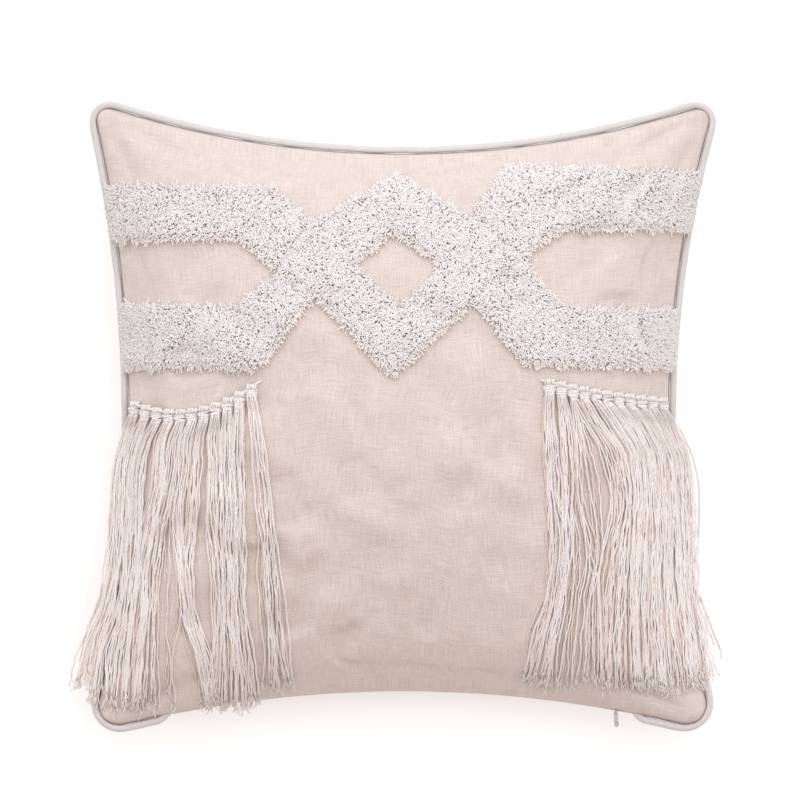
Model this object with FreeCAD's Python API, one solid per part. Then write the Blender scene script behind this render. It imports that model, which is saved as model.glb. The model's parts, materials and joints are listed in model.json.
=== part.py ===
# Square throw pillow lying on its back: piped cover with tufted bands and two tasselled fringes,
# a concealed zip in the bottom seam, and a cased fibre insert.
# Frame: X right, Y towards the top edge, Z up out of the decorated face. The origin is on the floor,
# at the centre of the flat patch the pillow rests on. Units are millimetres.
import FreeCAD, Part
import math
import os

# cover outline: four edges that draw in at the middle, between virtual sharp corners
corner_span_x = 459.0
corner_span_y = 464.0
edge_draw_left = 28.0
edge_draw_right = 35.0
edge_draw_top = 39.0
edge_draw_bottom = 31.0
corner_radius_top = 10.0
corner_radius_bottom = 16.0
least_corner_radius = 2.0

# how the pillow stands
seam_height = 64.0
front_crown = 84.0
back_crown = 82.0
fullness = 1.3

# cloth layers, measured upwards
cover_thickness = 0.9
cover_rim_width = 3.0
casing_thickness = 0.5
casing_rim_width = 1.2
layer_clearance = 0.4
insert_margin = 6.0
insert_margin_zip = 10.0
insert_crown_slack = 0.7
seam_half_gap = 0.1
rim_lip = 0.8

# piping
piping_diameter = 5.2
piping_core_diameter = 3.0
piping_core_clearance = 0.15
piping_seam_gap = 0.2
piping_stop_left = 1.0
piping_stop_right = 4.0

# zip in the bottom seam
zip_end_left = -166.0
zip_end_right = 160.0
slider_rest_x = 156.0
slider_open_gap = 2.0
slit_half_height = 0.9
slit_depth = 4.2
coil_start = 5.6
coil_width = 2.2
coil_half_height = 1.2
coil_half_gap = 0.1
tape_coil_gap = 0.2
tape_start = coil_start + coil_width + tape_coil_gap
tape_width = 6.0
tape_thickness = 0.5
tape_half_gap = 0.15
allowance_setback = 1.3
allowance_start = tape_start + allowance_setback
allowance_width = 5.0
allowance_thickness = 0.5
allowance_tape_gap = 0.2
allowance_half_gap = tape_half_gap + tape_thickness + allowance_tape_gap
allowance_end_length = 6.0
stop_length = 2.5
stop_grip = 0.15
stop_half_height = coil_half_height + stop_grip
stop_end_gap = 0.2
allowance_stop_gap = 0.5
slider_length = 7.0
slider_web_start = 4.4
slider_web_width = 0.8
slider_plate_gap = 0.3
slider_plate_inner = coil_half_height + slider_plate_gap
slider_plate_thickness = 0.8
slider_depth = 4.4
neck_width = 2.4
neck_half_height = 0.55
pin_offset = 2.6
eye_radius = 1.3
eye_hole_radius = 0.7
pin_radius = 0.5
pull_length = 8.0
pull_width = 3.0
pull_cheek_gap = 0.15
pull_cheek_thickness = 0.45
pull_rest_angle = 15.0
pull_eye_clearance = 0.4
pull_neck_way = 3.2

# tufted bands
pile_height = 7.5
pile_gap = 0.3
pile_edge_margin = 4.0
pile_joint_gap = 0.4

# fringes
carrier_radius = 0.9
ring_half_width = 0.8
ring_bore_radius = 3.4
ring_outer_radius = 4.5
ring_face_gap = 0.5
knot_reach = 8.0
knot_length = 5.0
knot_thickness = 5.0
strip_side_gap = 0.6
strip_thickness = 3.2
strip_gap = 0.6
strip_length_left = 205.0
strip_length_right = 197.0
tassel_count_left = 11
tassel_first_x_left = -196.5
tassel_pitch_left = 8.65
carrier_end_x_left = (-200.2, -103.0)
carrier_low_x_left = -165.0
carrier_low_y_left = 3.5
carrier_rise_left = 0.0060
tassel_count_right = 11
tassel_first_x_right = 105.5
tassel_pitch_right = 8.4
carrier_end_x_right = (98.5, 193.2)
carrier_low_x_right = 240.0
carrier_low_y_right = 10.0
carrier_rise_right = 0.00085
strip_width = min(tassel_pitch_left, tassel_pitch_right) - strip_side_gap

half_x = corner_span_x / 2
half_y = corner_span_y / 2
grid_steps = 20
tall = 200.0
up = FreeCAD.Vector(0, 0, 1)


def vec(x, y, z=0.0):
    return FreeCAD.Vector(x, y, z)


def edge_circle(draw, half_chord):
    """Radius of the arc that draws in by `draw` over the half chord."""
    return (half_chord ** 2 + draw ** 2) / (2 * draw)


radius_left = edge_circle(edge_draw_left, half_y)
radius_right = edge_circle(edge_draw_right, half_y)
radius_top = edge_circle(edge_draw_top, half_x)
radius_bottom = edge_circle(edge_draw_bottom, half_x)
centre_left = vec(-half_x + edge_draw_left - radius_left, 0)
centre_right = vec(half_x - edge_draw_right + radius_right, 0)
centre_top = vec(0, half_y - edge_draw_top + radius_top)
centre_bottom = vec(0, -half_y + edge_draw_bottom - radius_bottom)


def meet(c1, r1, c2, r2):
    """The crossing of two circles that lies nearer the pillow."""
    d = c2 - c1
    along = (d.Length ** 2 + r1 ** 2 - r2 ** 2) / (2 * d.Length)
    off = math.sqrt(r1 ** 2 - along ** 2)
    unit = d / d.Length
    foot = c1 + unit * along
    side = vec(-unit.y, unit.x) * off
    return min((foot + side, foot - side), key=lambda p: p.Length)


def sides(inset, zip_inset=None):
    """The four edge arcs moved inwards: name, centre, radius. The bottom one may move by more."""
    low = inset if zip_inset is None else zip_inset
    return {
        "bottom": (centre_bottom, radius_bottom + low),
        "right": (centre_right, radius_right + inset),
        "top": (centre_top, radius_top + inset),
        "left": (centre_left, radius_left + inset),
    }


def outline_wire(inset, zip_inset=None):
    """Closed plan outline in the plane z = 0 with tangent corner arcs."""
    arcs = sides(inset, zip_inset)
    turns = (("left", "bottom"), ("bottom", "right"), ("right", "top"), ("top", "left"))
    radii = (corner_radius_bottom, corner_radius_bottom, corner_radius_top, corner_radius_top)
    corners = []
    for (first, second), base in zip(turns, radii):
        r = max(base - inset, least_corner_radius)
        (c1, r1), (c2, r2) = arcs[first], arcs[second]
        centre = meet(c1, r1 + r, c2, r2 + r)
        start = c1 + (centre - c1) * (r1 / (r1 + r))
        end = c2 + (centre - c2) * (r2 / (r2 + r))
        outward = (start + end) * 0.5 - centre
        middle = centre + outward * (r / outward.Length)
        corners.append((start, middle, end))
    edges = []
    names = ("bottom", "right", "top", "left")
    for i, name in enumerate(names):
        start = corners[i][2]
        end = corners[(i + 1) % 4][0]
        centre, radius = arcs[name]
        chord_mid = (start + end) * 0.5 - centre
        middle = centre + chord_mid * (radius / chord_mid.Length)
        edges.append(Part.Arc(start, middle, end).toShape())
        edges.append(Part.Arc(*corners[(i + 1) % 4]).toShape())
    return Part.Wire(edges)


def prism(wire, low, high):
    face = Part.Face(wire)
    face.translate(vec(0, 0, low))
    return face.extrude(vec(0, 0, high - low))


def arc_point(centre, radius, start, end, t):
    """The point a share t of the way round the arc from start to end."""
    a = math.atan2(start.y - centre.y, start.x - centre.x)
    b = math.atan2(end.y - centre.y, end.x - centre.x)
    turn = (b - a + math.pi) % (2 * math.pi) - math.pi
    angle = a + turn * t
    return centre + vec(math.cos(angle), math.sin(angle)) * radius


class Plan:
    """A patch that fills the four edge arcs: u runs left to right and v bottom to top, -1 to 1."""

    def __init__(self, inset, zip_inset=None):
        self.arcs = sides(inset, zip_inset)
        self.p00 = self.corner("left", "bottom")
        self.p10 = self.corner("right", "bottom")
        self.p01 = self.corner("left", "top")
        self.p11 = self.corner("right", "top")

    def corner(self, first, second):
        return meet(*self.arcs[first], *self.arcs[second])

    def at(self, u, v):
        s = (1 + u) / 2
        t = (1 + v) / 2
        bottom = arc_point(*self.arcs["bottom"], self.p00, self.p10, s)
        top = arc_point(*self.arcs["top"], self.p01, self.p11, s)
        left = arc_point(*self.arcs["left"], self.p00, self.p01, t)
        right = arc_point(*self.arcs["right"], self.p10, self.p11, t)
        low = self.p00 * (1 - s) + self.p10 * s
        high = self.p01 * (1 - s) + self.p11 * s
        corners = low * (1 - t) + high * t
        return bottom * (1 - t) + top * t + left * (1 - s) + right * s - corners

    def find(self, x, y):
        """The u and v of a plan point, by repeated correction."""
        u = x / half_x
        v = y / half_y
        for _ in range(40):
            p = self.at(u, v)
            u = max(-1.0, min(1.0, u + (x - p.x) / half_x))
            v = max(-1.0, min(1.0, v + (y - p.y) / half_y))
        return u, v


def swell(u, v):
    """Share of the crown height: full in the middle, steep at the edges and thin in the corners."""
    return (max(0.0, 1 - u * u) * max(0.0, 1 - v * v)) ** (fullness / 2)


def dome(plan, crown, side):
    """The curved face of one side of a cushion; side is 1 for the front and -1 for the back."""
    rows = []
    for i in range(grid_steps + 1):
        u = math.sin(math.pi * (i / grid_steps - 0.5))
        row = []
        for j in range(grid_steps + 1):
            v = math.sin(math.pi * (j / grid_steps - 0.5))
            p = plan.at(u, v)
            row.append(vec(p.x, p.y, seam_height + side * crown * swell(u, v)))
        rows.append(row)
    surface = Part.BSplineSurface()
    surface.interpolate(rows)
    return surface.toShape()


def half_lens(inset, crown, side, floor, start, zip_inset=None):
    """Solid between a plane `start` from the seam and one dome, cut flat at the floor height."""
    zip_lip = None if zip_inset is None else zip_inset - rim_lip
    plan = Plan(inset - rim_lip, zip_lip)
    face = dome(plan, crown, side)
    near = seam_height + side * start
    far = seam_height + side * tall
    block = prism(outline_wire(inset, zip_inset), min(near, far), max(near, far))
    body = block.cut(face.extrude(vec(0, 0, side * 2 * tall)))
    if side < 0:
        below = Part.makeBox(4 * tall, 4 * tall, tall, vec(-2 * tall, -2 * tall, floor - tall))
        body = body.cut(below)
    return body.removeSplitter()


face_plan = Plan(-rim_lip)


def face_height(x, y):
    """Height of the cover's front face over a plan point."""
    return seam_height + front_crown * swell(*face_plan.find(x, y))


def face_slope(x, y):
    step = 0.5
    return (face_height(x + step, y) - face_height(x - step, y)) / (2 * step)


# ---- zip geometry: everything is a small section turned about the centre of the bottom edge arc

def arc_angle(x):
    return math.degrees(math.asin(x / radius_bottom))


def turned(inner, outer, low, high, x_from, x_to):
    """A bar of rectangular section along the bottom seam; inner and outer are depths into the pillow."""
    a = arc_angle(x_from)
    b = arc_angle(x_to)
    r0 = radius_bottom + inner
    r1 = radius_bottom + outer
    corners = [vec(0, r0, low), vec(0, r1, low), vec(0, r1, high), vec(0, r0, high)]
    section = Part.Face(Part.makePolygon(corners + corners[:1]))
    section.rotate(vec(0, 0), up, -b)
    bar = section.revolve(vec(0, 0), up, b - a)
    bar.translate(vec(centre_bottom.x, centre_bottom.y, seam_height))
    return bar


def seam_frame(shape, x):
    """Moves a shape drawn at the top of the seam circle round to the plan position x."""
    shape.rotate(vec(0, 0), up, -arc_angle(x))
    shape.translate(vec(centre_bottom.x, centre_bottom.y, seam_height))
    return shape


def zip_slit():
    return turned(-2.0, slit_depth, -slit_half_height, slit_half_height, zip_end_left, zip_end_right)


def seam_allowance(side):
    """The turned-in edge that one zip tape is sewn to, joined to the rim beyond both ends of the zip."""
    low, high = sorted((side * allowance_half_gap, side * (allowance_half_gap + allowance_thickness)))
    deep = allowance_start + allowance_width
    left = zip_end_left - allowance_end_length
    right = zip_end_right + allowance_end_length
    strip = turned(allowance_start, deep, low, high, left, right)
    rim = cover_rim_width / 2
    end_left = turned(rim, deep, low, high, left, zip_end_left - stop_length - allowance_stop_gap)
    end_right = turned(rim, deep, low, high, zip_end_right + stop_length + allowance_stop_gap,
                       right)
    return strip.fuse([end_left, end_right])


def cover_panel(side):
    crown = front_crown if side > 0 else back_crown
    outer = half_lens(0.0, crown, side, 0.0, seam_half_gap)
    inner = half_lens(cover_rim_width, crown - cover_thickness, side, cover_thickness, 0.0)
    shell = outer.cut(inner).cut(zip_slit())
    return shell.fuse(seam_allowance(side)).removeSplitter()


def casing_crown(crown):
    return crown - cover_thickness - layer_clearance - insert_crown_slack


def insert_casing(side):
    crown = casing_crown(front_crown if side > 0 else back_crown)
    floor = cover_thickness + layer_clearance
    margin = cover_rim_width + insert_margin
    zip_margin = margin + insert_margin_zip
    outer = half_lens(margin, crown, side, floor, seam_half_gap, zip_margin)
    inner = half_lens(margin + casing_rim_width, crown - casing_thickness, side,
                      floor + casing_thickness, 0.0, zip_margin + casing_rim_width)
    return outer.cut(inner)


def insert_fill():
    margin = cover_rim_width + insert_margin + casing_rim_width + layer_clearance
    floor = cover_thickness + casing_thickness + 2 * layer_clearance
    less = casing_thickness + layer_clearance
    front = half_lens(margin, casing_crown(front_crown) - less, 1, floor, 0.0, margin + insert_margin_zip)
    back = half_lens(margin, casing_crown(back_crown) - less, -1, floor, 0.0, margin + insert_margin_zip)
    return front.fuse(back).removeSplitter()


def piping_path():
    """Centre line of the piping: the whole outline except the zip opening."""
    offset = piping_seam_gap + piping_diameter / 2
    wire = outline_wire(-offset)
    gap = turned(-30.0, 30.0, -tall, tall, zip_end_left + piping_stop_left,
                 zip_end_right + piping_stop_right)
    gap.translate(vec(0, 0, -seam_height))
    kept = wire.cut(gap)
    return Part.Wire(Part.__sortEdges__(kept.Edges))


def tube_along(path, outer, inner=0.0):
    """A round tube or bar swept along a wire."""
    start = path.OrderedVertexes[0].Point
    tangent = path.OrderedEdges[0].tangentAt(path.OrderedEdges[0].FirstParameter)
    shapes = []
    for radius in (outer, inner):
        if radius:
            ring = Part.Wire(Part.makeCircle(radius, start, tangent))
            shapes.append(path.makePipeShell([ring], True, False, 2))
    return shapes[0].cut(shapes[1]) if inner else shapes[0]


def raised_piping(outer, inner=0.0):
    tube = tube_along(piping_path(), outer, inner)
    tube.translate(vec(0, 0, seam_height))
    return tube


def piping_sleeve():
    return raised_piping(piping_diameter / 2, piping_core_diameter / 2 + piping_core_clearance)


def piping_core():
    return raised_piping(piping_core_diameter / 2)


def zip_tape(side):
    low, high = sorted((side * tape_half_gap, side * (tape_half_gap + tape_thickness)))
    return turned(tape_start, tape_start + tape_width, low, high, zip_end_left, zip_end_right)


def zip_coil(side):
    low, high = sorted((side * coil_half_gap, side * coil_half_height))
    return turned(coil_start, coil_start + coil_width, low, high, zip_end_left, zip_end_right)


def zip_stop(x_from):
    return turned(coil_start, coil_start + coil_width, -stop_half_height, stop_half_height,
                  x_from, x_from + stop_length)


def pin_radius_position():
    return radius_bottom - pin_offset


def zip_slider():
    """Two plates over and under the coils, a web that parts them, and a neck with an eye outside."""
    half = slider_length / 2
    outer = slider_plate_inner + slider_plate_thickness
    start = slider_web_start
    end = start + slider_depth
    x0 = slider_rest_x - half
    x1 = slider_rest_x + half
    upper = turned(start, end, slider_plate_inner, outer, x0, x1)
    lower = turned(start, end, -outer, -slider_plate_inner, x0, x1)
    web = turned(start, start + slider_web_width, -outer, outer, x0, x1)
    neck = Part.makeBox(neck_width, pin_offset + start + slider_web_width / 2, 2 * neck_half_height,
                        vec(-neck_width / 2, pin_radius_position(), -neck_half_height))
    eye = Part.makeCylinder(eye_radius, 2 * neck_half_height, vec(0, pin_radius_position(), -neck_half_height))
    hole = Part.makeCylinder(eye_hole_radius, 4 * neck_half_height,
                             vec(0, pin_radius_position(), -2 * neck_half_height))
    neck = seam_frame(neck.fuse(eye).cut(hole), slider_rest_x)
    return upper.fuse([lower, web, neck]).removeSplitter()


def zip_pull():
    """A slim tab with two cheeks and a pin through the slider's eye."""
    low = neck_half_height + pull_cheek_gap
    high = low + pull_cheek_thickness
    pin = Part.makeCylinder(pin_radius, 2 * high, vec(0, 0, -high))
    tab = Part.makeBox(pull_width, pull_length - eye_radius, 2 * high,
                       vec(-pull_width / 2, -pull_length, -high))
    root = Part.makeCylinder(pull_width / 2, 2 * high, vec(0, 0, -high))
    clear = Part.makeCylinder(eye_radius + pull_eye_clearance, 2 * low, vec(0, 0, -low))
    neck_way = Part.makeBox(2 * tall, pull_neck_way, 2 * low, vec(-tall, 0.0, -low))
    tip = Part.makeCylinder(pull_width / 2, 2 * high, vec(0, -pull_length, -high))
    body = root.fuse([tab, tip]).cut(clear).cut(neck_way)
    thin = pull_cheek_thickness
    for side in (1, -1):
        body = body.cut(Part.makeBox(pull_width * 2, pull_length, thin,
                                     vec(-pull_width, -pull_length - pull_width, side * high - thin / 2)))
    pull = body.fuse(pin)
    pull.rotate(vec(0, 0), up, pull_rest_angle)
    pull.translate(vec(0, pin_radius_position()))
    return seam_frame(pull, slider_rest_x)


# ---- tufted bands: plan points of the pattern, named by where they lie
notch_left = vec(-89.8, 104.1)
notch_upper_left = vec(-66.3, 140.0)
notch_lower_left = vec(-64.1, 87.2)
notch_right = vec(85.4, 113.6)
notch_upper_right = vec(48.0, 143.7)
notch_lower_right = vec(49.5, 82.1)
apex_top = vec(-4.8, 175.2)
apex_bottom = vec(-7.7, 28.6)
hole_left = vec(-35.6, 109.2)
hole_top = vec(-6.2, 133.4)
hole_right = vec(28.2, 107.8)
hole_bottom = vec(-2.6, 77.0)
arm_levels_left_upper = (170.0, 166.0, 129.0, 128.0)
arm_levels_left_lower = (83.0, 80.5, 36.0, 35.5)
arm_levels_right_upper = (178.5, 182.0, 136.0, 137.0)
arm_levels_right_lower = (78.5, 78.5, 37.5, 34.5)
arm_bend_inner = 30.0
arm_bend_outer = 28.0


def arm_polygon(side, notch_above, notch_side, notch_below, levels, upper):
    """One straight arm that reaches the side seam, with its slanted start at the crossing."""
    far = side * half_x
    outer_top, inner_top, inner_bottom, outer_bottom = levels
    if upper:
        bend_top = vec(notch_above.x + side * arm_bend_outer, inner_top)
        bend_bottom = vec(notch_side.x + side * arm_bend_inner, inner_bottom)
        points = [notch_above, bend_top, vec(far, outer_top), vec(far, outer_bottom), bend_bottom, notch_side]
    else:
        bend_top = vec(notch_side.x + side * arm_bend_inner, inner_top)
        bend_bottom = vec(notch_below.x + side * arm_bend_outer * 1.4, inner_bottom)
        points = [notch_side, bend_top, vec(far, outer_top), vec(far, outer_bottom), bend_bottom, notch_below]
    return points


def closed(points):
    return Part.makePolygon(points + points[:1])


def pile_slab():
    face = dome(face_plan, front_crown, 1)
    face.translate(vec(0, 0, pile_gap))
    return face.extrude(vec(0, 0, pile_height))


def tuft(points, hole=None):
    """A patch of pile over a plan polygon, kept clear of its neighbours and of the side seams."""
    patch = Part.Face(closed(points).makeOffset2D(-pile_joint_gap / 2, 2))
    if hole:
        patch = patch.cut(Part.Face(closed(hole)))
    block = patch.extrude(vec(0, 0, 2 * tall))
    field = prism(outline_wire(pile_edge_margin), 0.0, 2 * tall)
    return block.common(field).common(pile_slab()).removeSplitter()


def tuft_diamond():
    points = [notch_left, notch_upper_left, apex_top, notch_upper_right,
              notch_right, notch_lower_right, apex_bottom, notch_lower_left]
    return tuft(points, [hole_left, hole_top, hole_right, hole_bottom])


def tuft_arm(side, upper):
    if side < 0:
        notches = (notch_upper_left, notch_left, notch_lower_left)
        levels = arm_levels_left_upper if upper else arm_levels_left_lower
    else:
        notches = (notch_upper_right, notch_right, notch_lower_right)
        levels = arm_levels_right_upper if upper else arm_levels_right_lower
    return tuft(arm_polygon(side, *notches, levels, upper))


# ---- fringes

def carrier_y(side, x):
    """Plan sag of the carrier cord."""
    if side < 0:
        return carrier_low_y_left + carrier_rise_left * (x - carrier_low_x_left) ** 2
    return carrier_low_y_right + carrier_rise_right * (x - carrier_low_x_right) ** 2


def carrier_lift(x, y):
    """How far the cord's centre lies over the face, so that each ring clears it."""
    slope = abs(face_slope(x, y))
    return ring_outer_radius + ring_half_width * slope + ring_face_gap * math.hypot(1, slope)


def carrier_point(side, x):
    y = carrier_y(side, x)
    return vec(x, y, face_height(x, y) + carrier_lift(x, y))


def carrier_end(side, x):
    """Where the cord is sewn down to the face."""
    y = carrier_y(side, x)
    slope = abs(face_slope(x, y))
    return vec(x, y, face_height(x, y) + (carrier_radius + ring_face_gap) * math.hypot(1, slope))


def tassel_positions(side):
    if side < 0:
        return [tassel_first_x_left + tassel_pitch_left * i for i in range(tassel_count_left)]
    return [tassel_first_x_right + tassel_pitch_right * i for i in range(tassel_count_right)]


def fringe_cord(side):
    ends = carrier_end_x_left if side < 0 else carrier_end_x_right
    points = [carrier_end(side, ends[0])]
    points += [carrier_point(side, x) for x in tassel_positions(side)]
    points.append(carrier_end(side, ends[1]))
    curve = Part.BSplineCurve()
    curve.interpolate(points)
    return tube_along(Part.Wire(curve.toShape()), carrier_radius)


def face_layer(low, thickness):
    face = dome(face_plan, front_crown, 1)
    face.translate(vec(0, 0, low))
    return face.extrude(vec(0, 0, thickness))


def tassel(side, x):
    """A ring on the carrier cord, the knot under it and the flat bundle of yarn that lies on the face."""
    centre = carrier_point(side, x)
    length = strip_length_left if side < 0 else strip_length_right
    ring = Part.makeCylinder(ring_outer_radius, 2 * ring_half_width,
                             vec(x - ring_half_width, centre.y, centre.z), vec(1, 0, 0))
    bore = Part.makeCylinder(ring_bore_radius, 4 * ring_half_width,
                             vec(x - 2 * ring_half_width, centre.y, centre.z), vec(1, 0, 0))
    knot_y = centre.y - knot_reach
    strip = Part.makeBox(strip_width, length - knot_reach, 2 * tall,
                         vec(x - strip_width / 2, centre.y - length, 0))
    strip = strip.common(face_layer(strip_gap, strip_thickness))
    knot = Part.makeBox(strip_width, knot_length, 2 * tall, vec(x - strip_width / 2, knot_y - knot_length, 0))
    knot = knot.common(face_layer(strip_gap + strip_thickness / 2, knot_thickness - strip_thickness / 2))
    foot = face_height(x, knot_y) + strip_gap + ring_half_width * abs(face_slope(x, knot_y))
    reach = knot_reach + knot_length / 2 - ring_bore_radius
    neck_low = min(foot, centre.z - ring_bore_radius / 2)
    neck = Part.makeBox(2 * ring_half_width, reach, centre.z + ring_bore_radius / 2 - neck_low,
                        vec(x - ring_half_width, centre.y - ring_bore_radius - reach, neck_low))
    return ring.fuse([neck, knot, strip]).cut(bore).removeSplitter()


def export(name, shape):
    if len(shape.Solids) != 1:
        raise RuntimeError(f"{name} has {len(shape.Solids)} solids")
    shape.Solids[0].exportStep(f"parts/{name}.step")


def main():
    os.makedirs("parts", exist_ok=True)
    export("cover_front_panel", cover_panel(1))
    export("cover_back_panel", cover_panel(-1))
    export("insert_casing_front", insert_casing(1))
    export("insert_casing_back", insert_casing(-1))
    export("insert_fill", insert_fill())
    export("piping_sleeve", piping_sleeve())
    export("piping_core", piping_core())
    export("zip_tape_front", zip_tape(1))
    export("zip_tape_back", zip_tape(-1))
    export("zip_coil_front", zip_coil(1))
    export("zip_coil_back", zip_coil(-1))
    export("zip_stop_open_end", zip_stop(zip_end_left - stop_length - stop_end_gap))
    export("zip_stop_closed_end", zip_stop(zip_end_right + stop_end_gap))
    export("zip_slider", zip_slider())
    export("zip_pull", zip_pull())
    export("tuft_diamond", tuft_diamond())
    for side, name in ((-1, "left"), (1, "right")):
        export(f"tuft_{name}_upper", tuft_arm(side, True))
        export(f"tuft_{name}_lower", tuft_arm(side, False))
        export(f"fringe_cord_{name}", fringe_cord(side))
        for i, x in enumerate(tassel_positions(side)):
            export(f"tassel_{name}_{i + 1:02d}", tassel(side, x))


if __name__ == "__main__":
    main()
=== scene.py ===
import bpy
import math
import numpy as np
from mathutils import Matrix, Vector
from mathutils.bvhtree import BVHTree
from mathutils.kdtree import KDTree
import json


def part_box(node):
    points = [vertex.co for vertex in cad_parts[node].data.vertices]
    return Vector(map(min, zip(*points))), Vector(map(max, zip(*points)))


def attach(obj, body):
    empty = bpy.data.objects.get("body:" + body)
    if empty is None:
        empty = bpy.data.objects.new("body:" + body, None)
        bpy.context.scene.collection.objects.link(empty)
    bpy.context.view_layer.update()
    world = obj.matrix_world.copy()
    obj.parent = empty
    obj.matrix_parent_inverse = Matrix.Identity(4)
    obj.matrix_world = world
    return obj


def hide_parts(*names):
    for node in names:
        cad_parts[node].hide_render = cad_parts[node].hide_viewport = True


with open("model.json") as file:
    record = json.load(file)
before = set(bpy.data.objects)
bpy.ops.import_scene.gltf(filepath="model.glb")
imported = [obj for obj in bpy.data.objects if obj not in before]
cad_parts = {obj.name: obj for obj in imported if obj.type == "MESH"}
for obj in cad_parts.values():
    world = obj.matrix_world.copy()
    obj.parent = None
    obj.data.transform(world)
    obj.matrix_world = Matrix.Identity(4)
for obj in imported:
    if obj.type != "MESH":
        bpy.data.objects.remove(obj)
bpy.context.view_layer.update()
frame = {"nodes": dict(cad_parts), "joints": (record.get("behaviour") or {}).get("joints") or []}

MM = 0.001
PI2 = 2 * math.pi
scene = bpy.context.scene

front_low, front_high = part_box("cover_front_panel")
SEAM = (front_low.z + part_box("cover_back_panel")[1].z) / 2
FRONT_CROWN = front_high.z - SEAM
BACK_CROWN = 82 * MM
FLAT = 450 * MM
CELLS = 88
SIM_FRAMES = 13
CANVAS_CLOTH = {
    "quality": 5, "mass": 0.15, "tension_stiffness": 20, "compression_stiffness": 10, "shear_stiffness": 6,
    "bending_stiffness": 0.3, "tension_damping": 8, "compression_damping": 8, "shear_damping": 5,
    "bending_damping": 0.5, "air_damping": 2, "use_pressure": True, "uniform_pressure_force": 6.0,
}
SLIT_HALF = 0.9 * MM
ZIP_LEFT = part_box("zip_tape_front")[0].x + 2.5 * MM
ZIP_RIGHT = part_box("zip_tape_front")[1].x - 2.5 * MM
COVER_BODY = "cushion"
PUCKER_RISE = 0.8 * MM
PUCKER_DEPTH = 7 * MM
WRINKLE = 2.5 * MM
# corner, direction of the valley, width, depth and reach in millimetres
CORNER_FOLDS = (
    ("tr", -2.62, 5, 3.4, 95), ("tr", -2.0, 5, 2.4, 85), ("tl", -0.5, 5, 2.4, 90),
    ("tl", -1.08, 5, 1.8, 80), ("br", 2.68, 5, 3.6, 120), ("br", 2.05, 5, 2.4, 80),
    ("bl", 0.42, 5, 2.6, 95), ("bl", 1.12, 5, 2.0, 80),
)


# ---------------------------------------------------------------- small helpers

def mesh_object(name, points, faces, uv=None, hue_and_shade=None, smooth=True):
    """An object from arrays: faces is a list of (count, corners) arrays, uv is per face corner."""
    mesh = bpy.data.meshes.new(name)
    loops = np.concatenate([f.ravel() for f in faces]).astype(np.int32)
    sizes = np.concatenate([np.full(len(f), f.shape[1]) for f in faces])
    starts = np.concatenate([[0], np.cumsum(sizes)[:-1]]).astype(np.int32)
    mesh.vertices.add(len(points))
    mesh.vertices.foreach_set("co", np.ascontiguousarray(points, np.float32).ravel())
    mesh.loops.add(len(loops))
    mesh.loops.foreach_set("vertex_index", loops)
    mesh.polygons.add(len(sizes))
    mesh.polygons.foreach_set("loop_start", starts)
    mesh.update(calc_edges=True)
    mesh.polygons.foreach_set("use_smooth", np.full(len(sizes), smooth))
    if uv is not None:
        layer = mesh.uv_layers.new(name="UVMap")
        layer.data.foreach_set("uv", np.ascontiguousarray(uv, np.float32).ravel())
    # colour attribute hue_and_shade: R is hue, G is painted shade for the spun materials
    if hue_and_shade is not None:
        colour = mesh.color_attributes.new("hue_and_shade", "FLOAT_COLOR", "POINT")
        four = np.ones((len(points), 4), np.float32)
        four[:, :hue_and_shade.shape[1]] = hue_and_shade
        colour.data.foreach_set("color", four.ravel())
    mesh.validate()
    obj = bpy.data.objects.new(name, mesh)
    scene.collection.objects.link(obj)
    return obj


def unit(v):
    return v / np.maximum(np.linalg.norm(v, axis=-1, keepdims=True), 1e-12)


def tubes(paths, radii, sides, reference=(0.0, 0.0, 1.0), hue_and_shade=None):
    """Round tubes along paths (n, m, 3) with radii (n, m): points, faces, corner uv and hue_and_shade (hue
    and painted shade).
    """
    n, m, _ = paths.shape
    along = unit(np.gradient(paths, axis=1))
    across = unit(np.cross(along, np.array(reference)))
    above = np.cross(across, along)
    angle = PI2 * np.arange(sides) / sides
    ring = (np.cos(angle)[:, None] * across[:, :, None, :] + np.sin(angle)[:, None] * above[:, :, None, :])
    points = paths[:, :, None, :] + radii[:, :, None, None] * ring
    index = np.arange(n * m * sides).reshape(n, m, sides)
    turned = np.roll(index, -1, axis=2)
    quads = np.stack([index[:, :-1], index[:, 1:], turned[:, 1:], turned[:, :-1]], axis=-1).reshape(-1, 4)
    starts = index[:, 0, :]
    ends = index[:, -1, ::-1]
    step = np.linalg.norm(np.diff(paths, axis=1), axis=2)
    length = np.concatenate([np.zeros((n, 1)), np.cumsum(step, axis=1)], axis=1)
    u0 = np.broadcast_to(np.arange(sides) / sides, (n, m - 1, sides))
    v0 = np.broadcast_to(length[:, :-1, None], (n, m - 1, sides))
    v1 = np.broadcast_to(length[:, 1:, None], (n, m - 1, sides))
    u1 = u0 + 1 / sides
    quad_uv = np.stack([np.stack([u0, v0], -1), np.stack([u0, v1], -1),
                        np.stack([u1, v1], -1), np.stack([u1, v0], -1)], axis=3).reshape(-1, 2)
    cap_uv = np.zeros((2 * n * sides, 2))
    uv = np.concatenate([quad_uv, cap_uv])
    colour = None
    if hue_and_shade is not None:
        depth = hue_and_shade.shape[-1]
        colour = np.broadcast_to(hue_and_shade[:, :, None, :], (n, m, sides, depth)).reshape(-1, depth)
    return points.reshape(-1, 3), [quads, starts, ends], uv, colour


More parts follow.
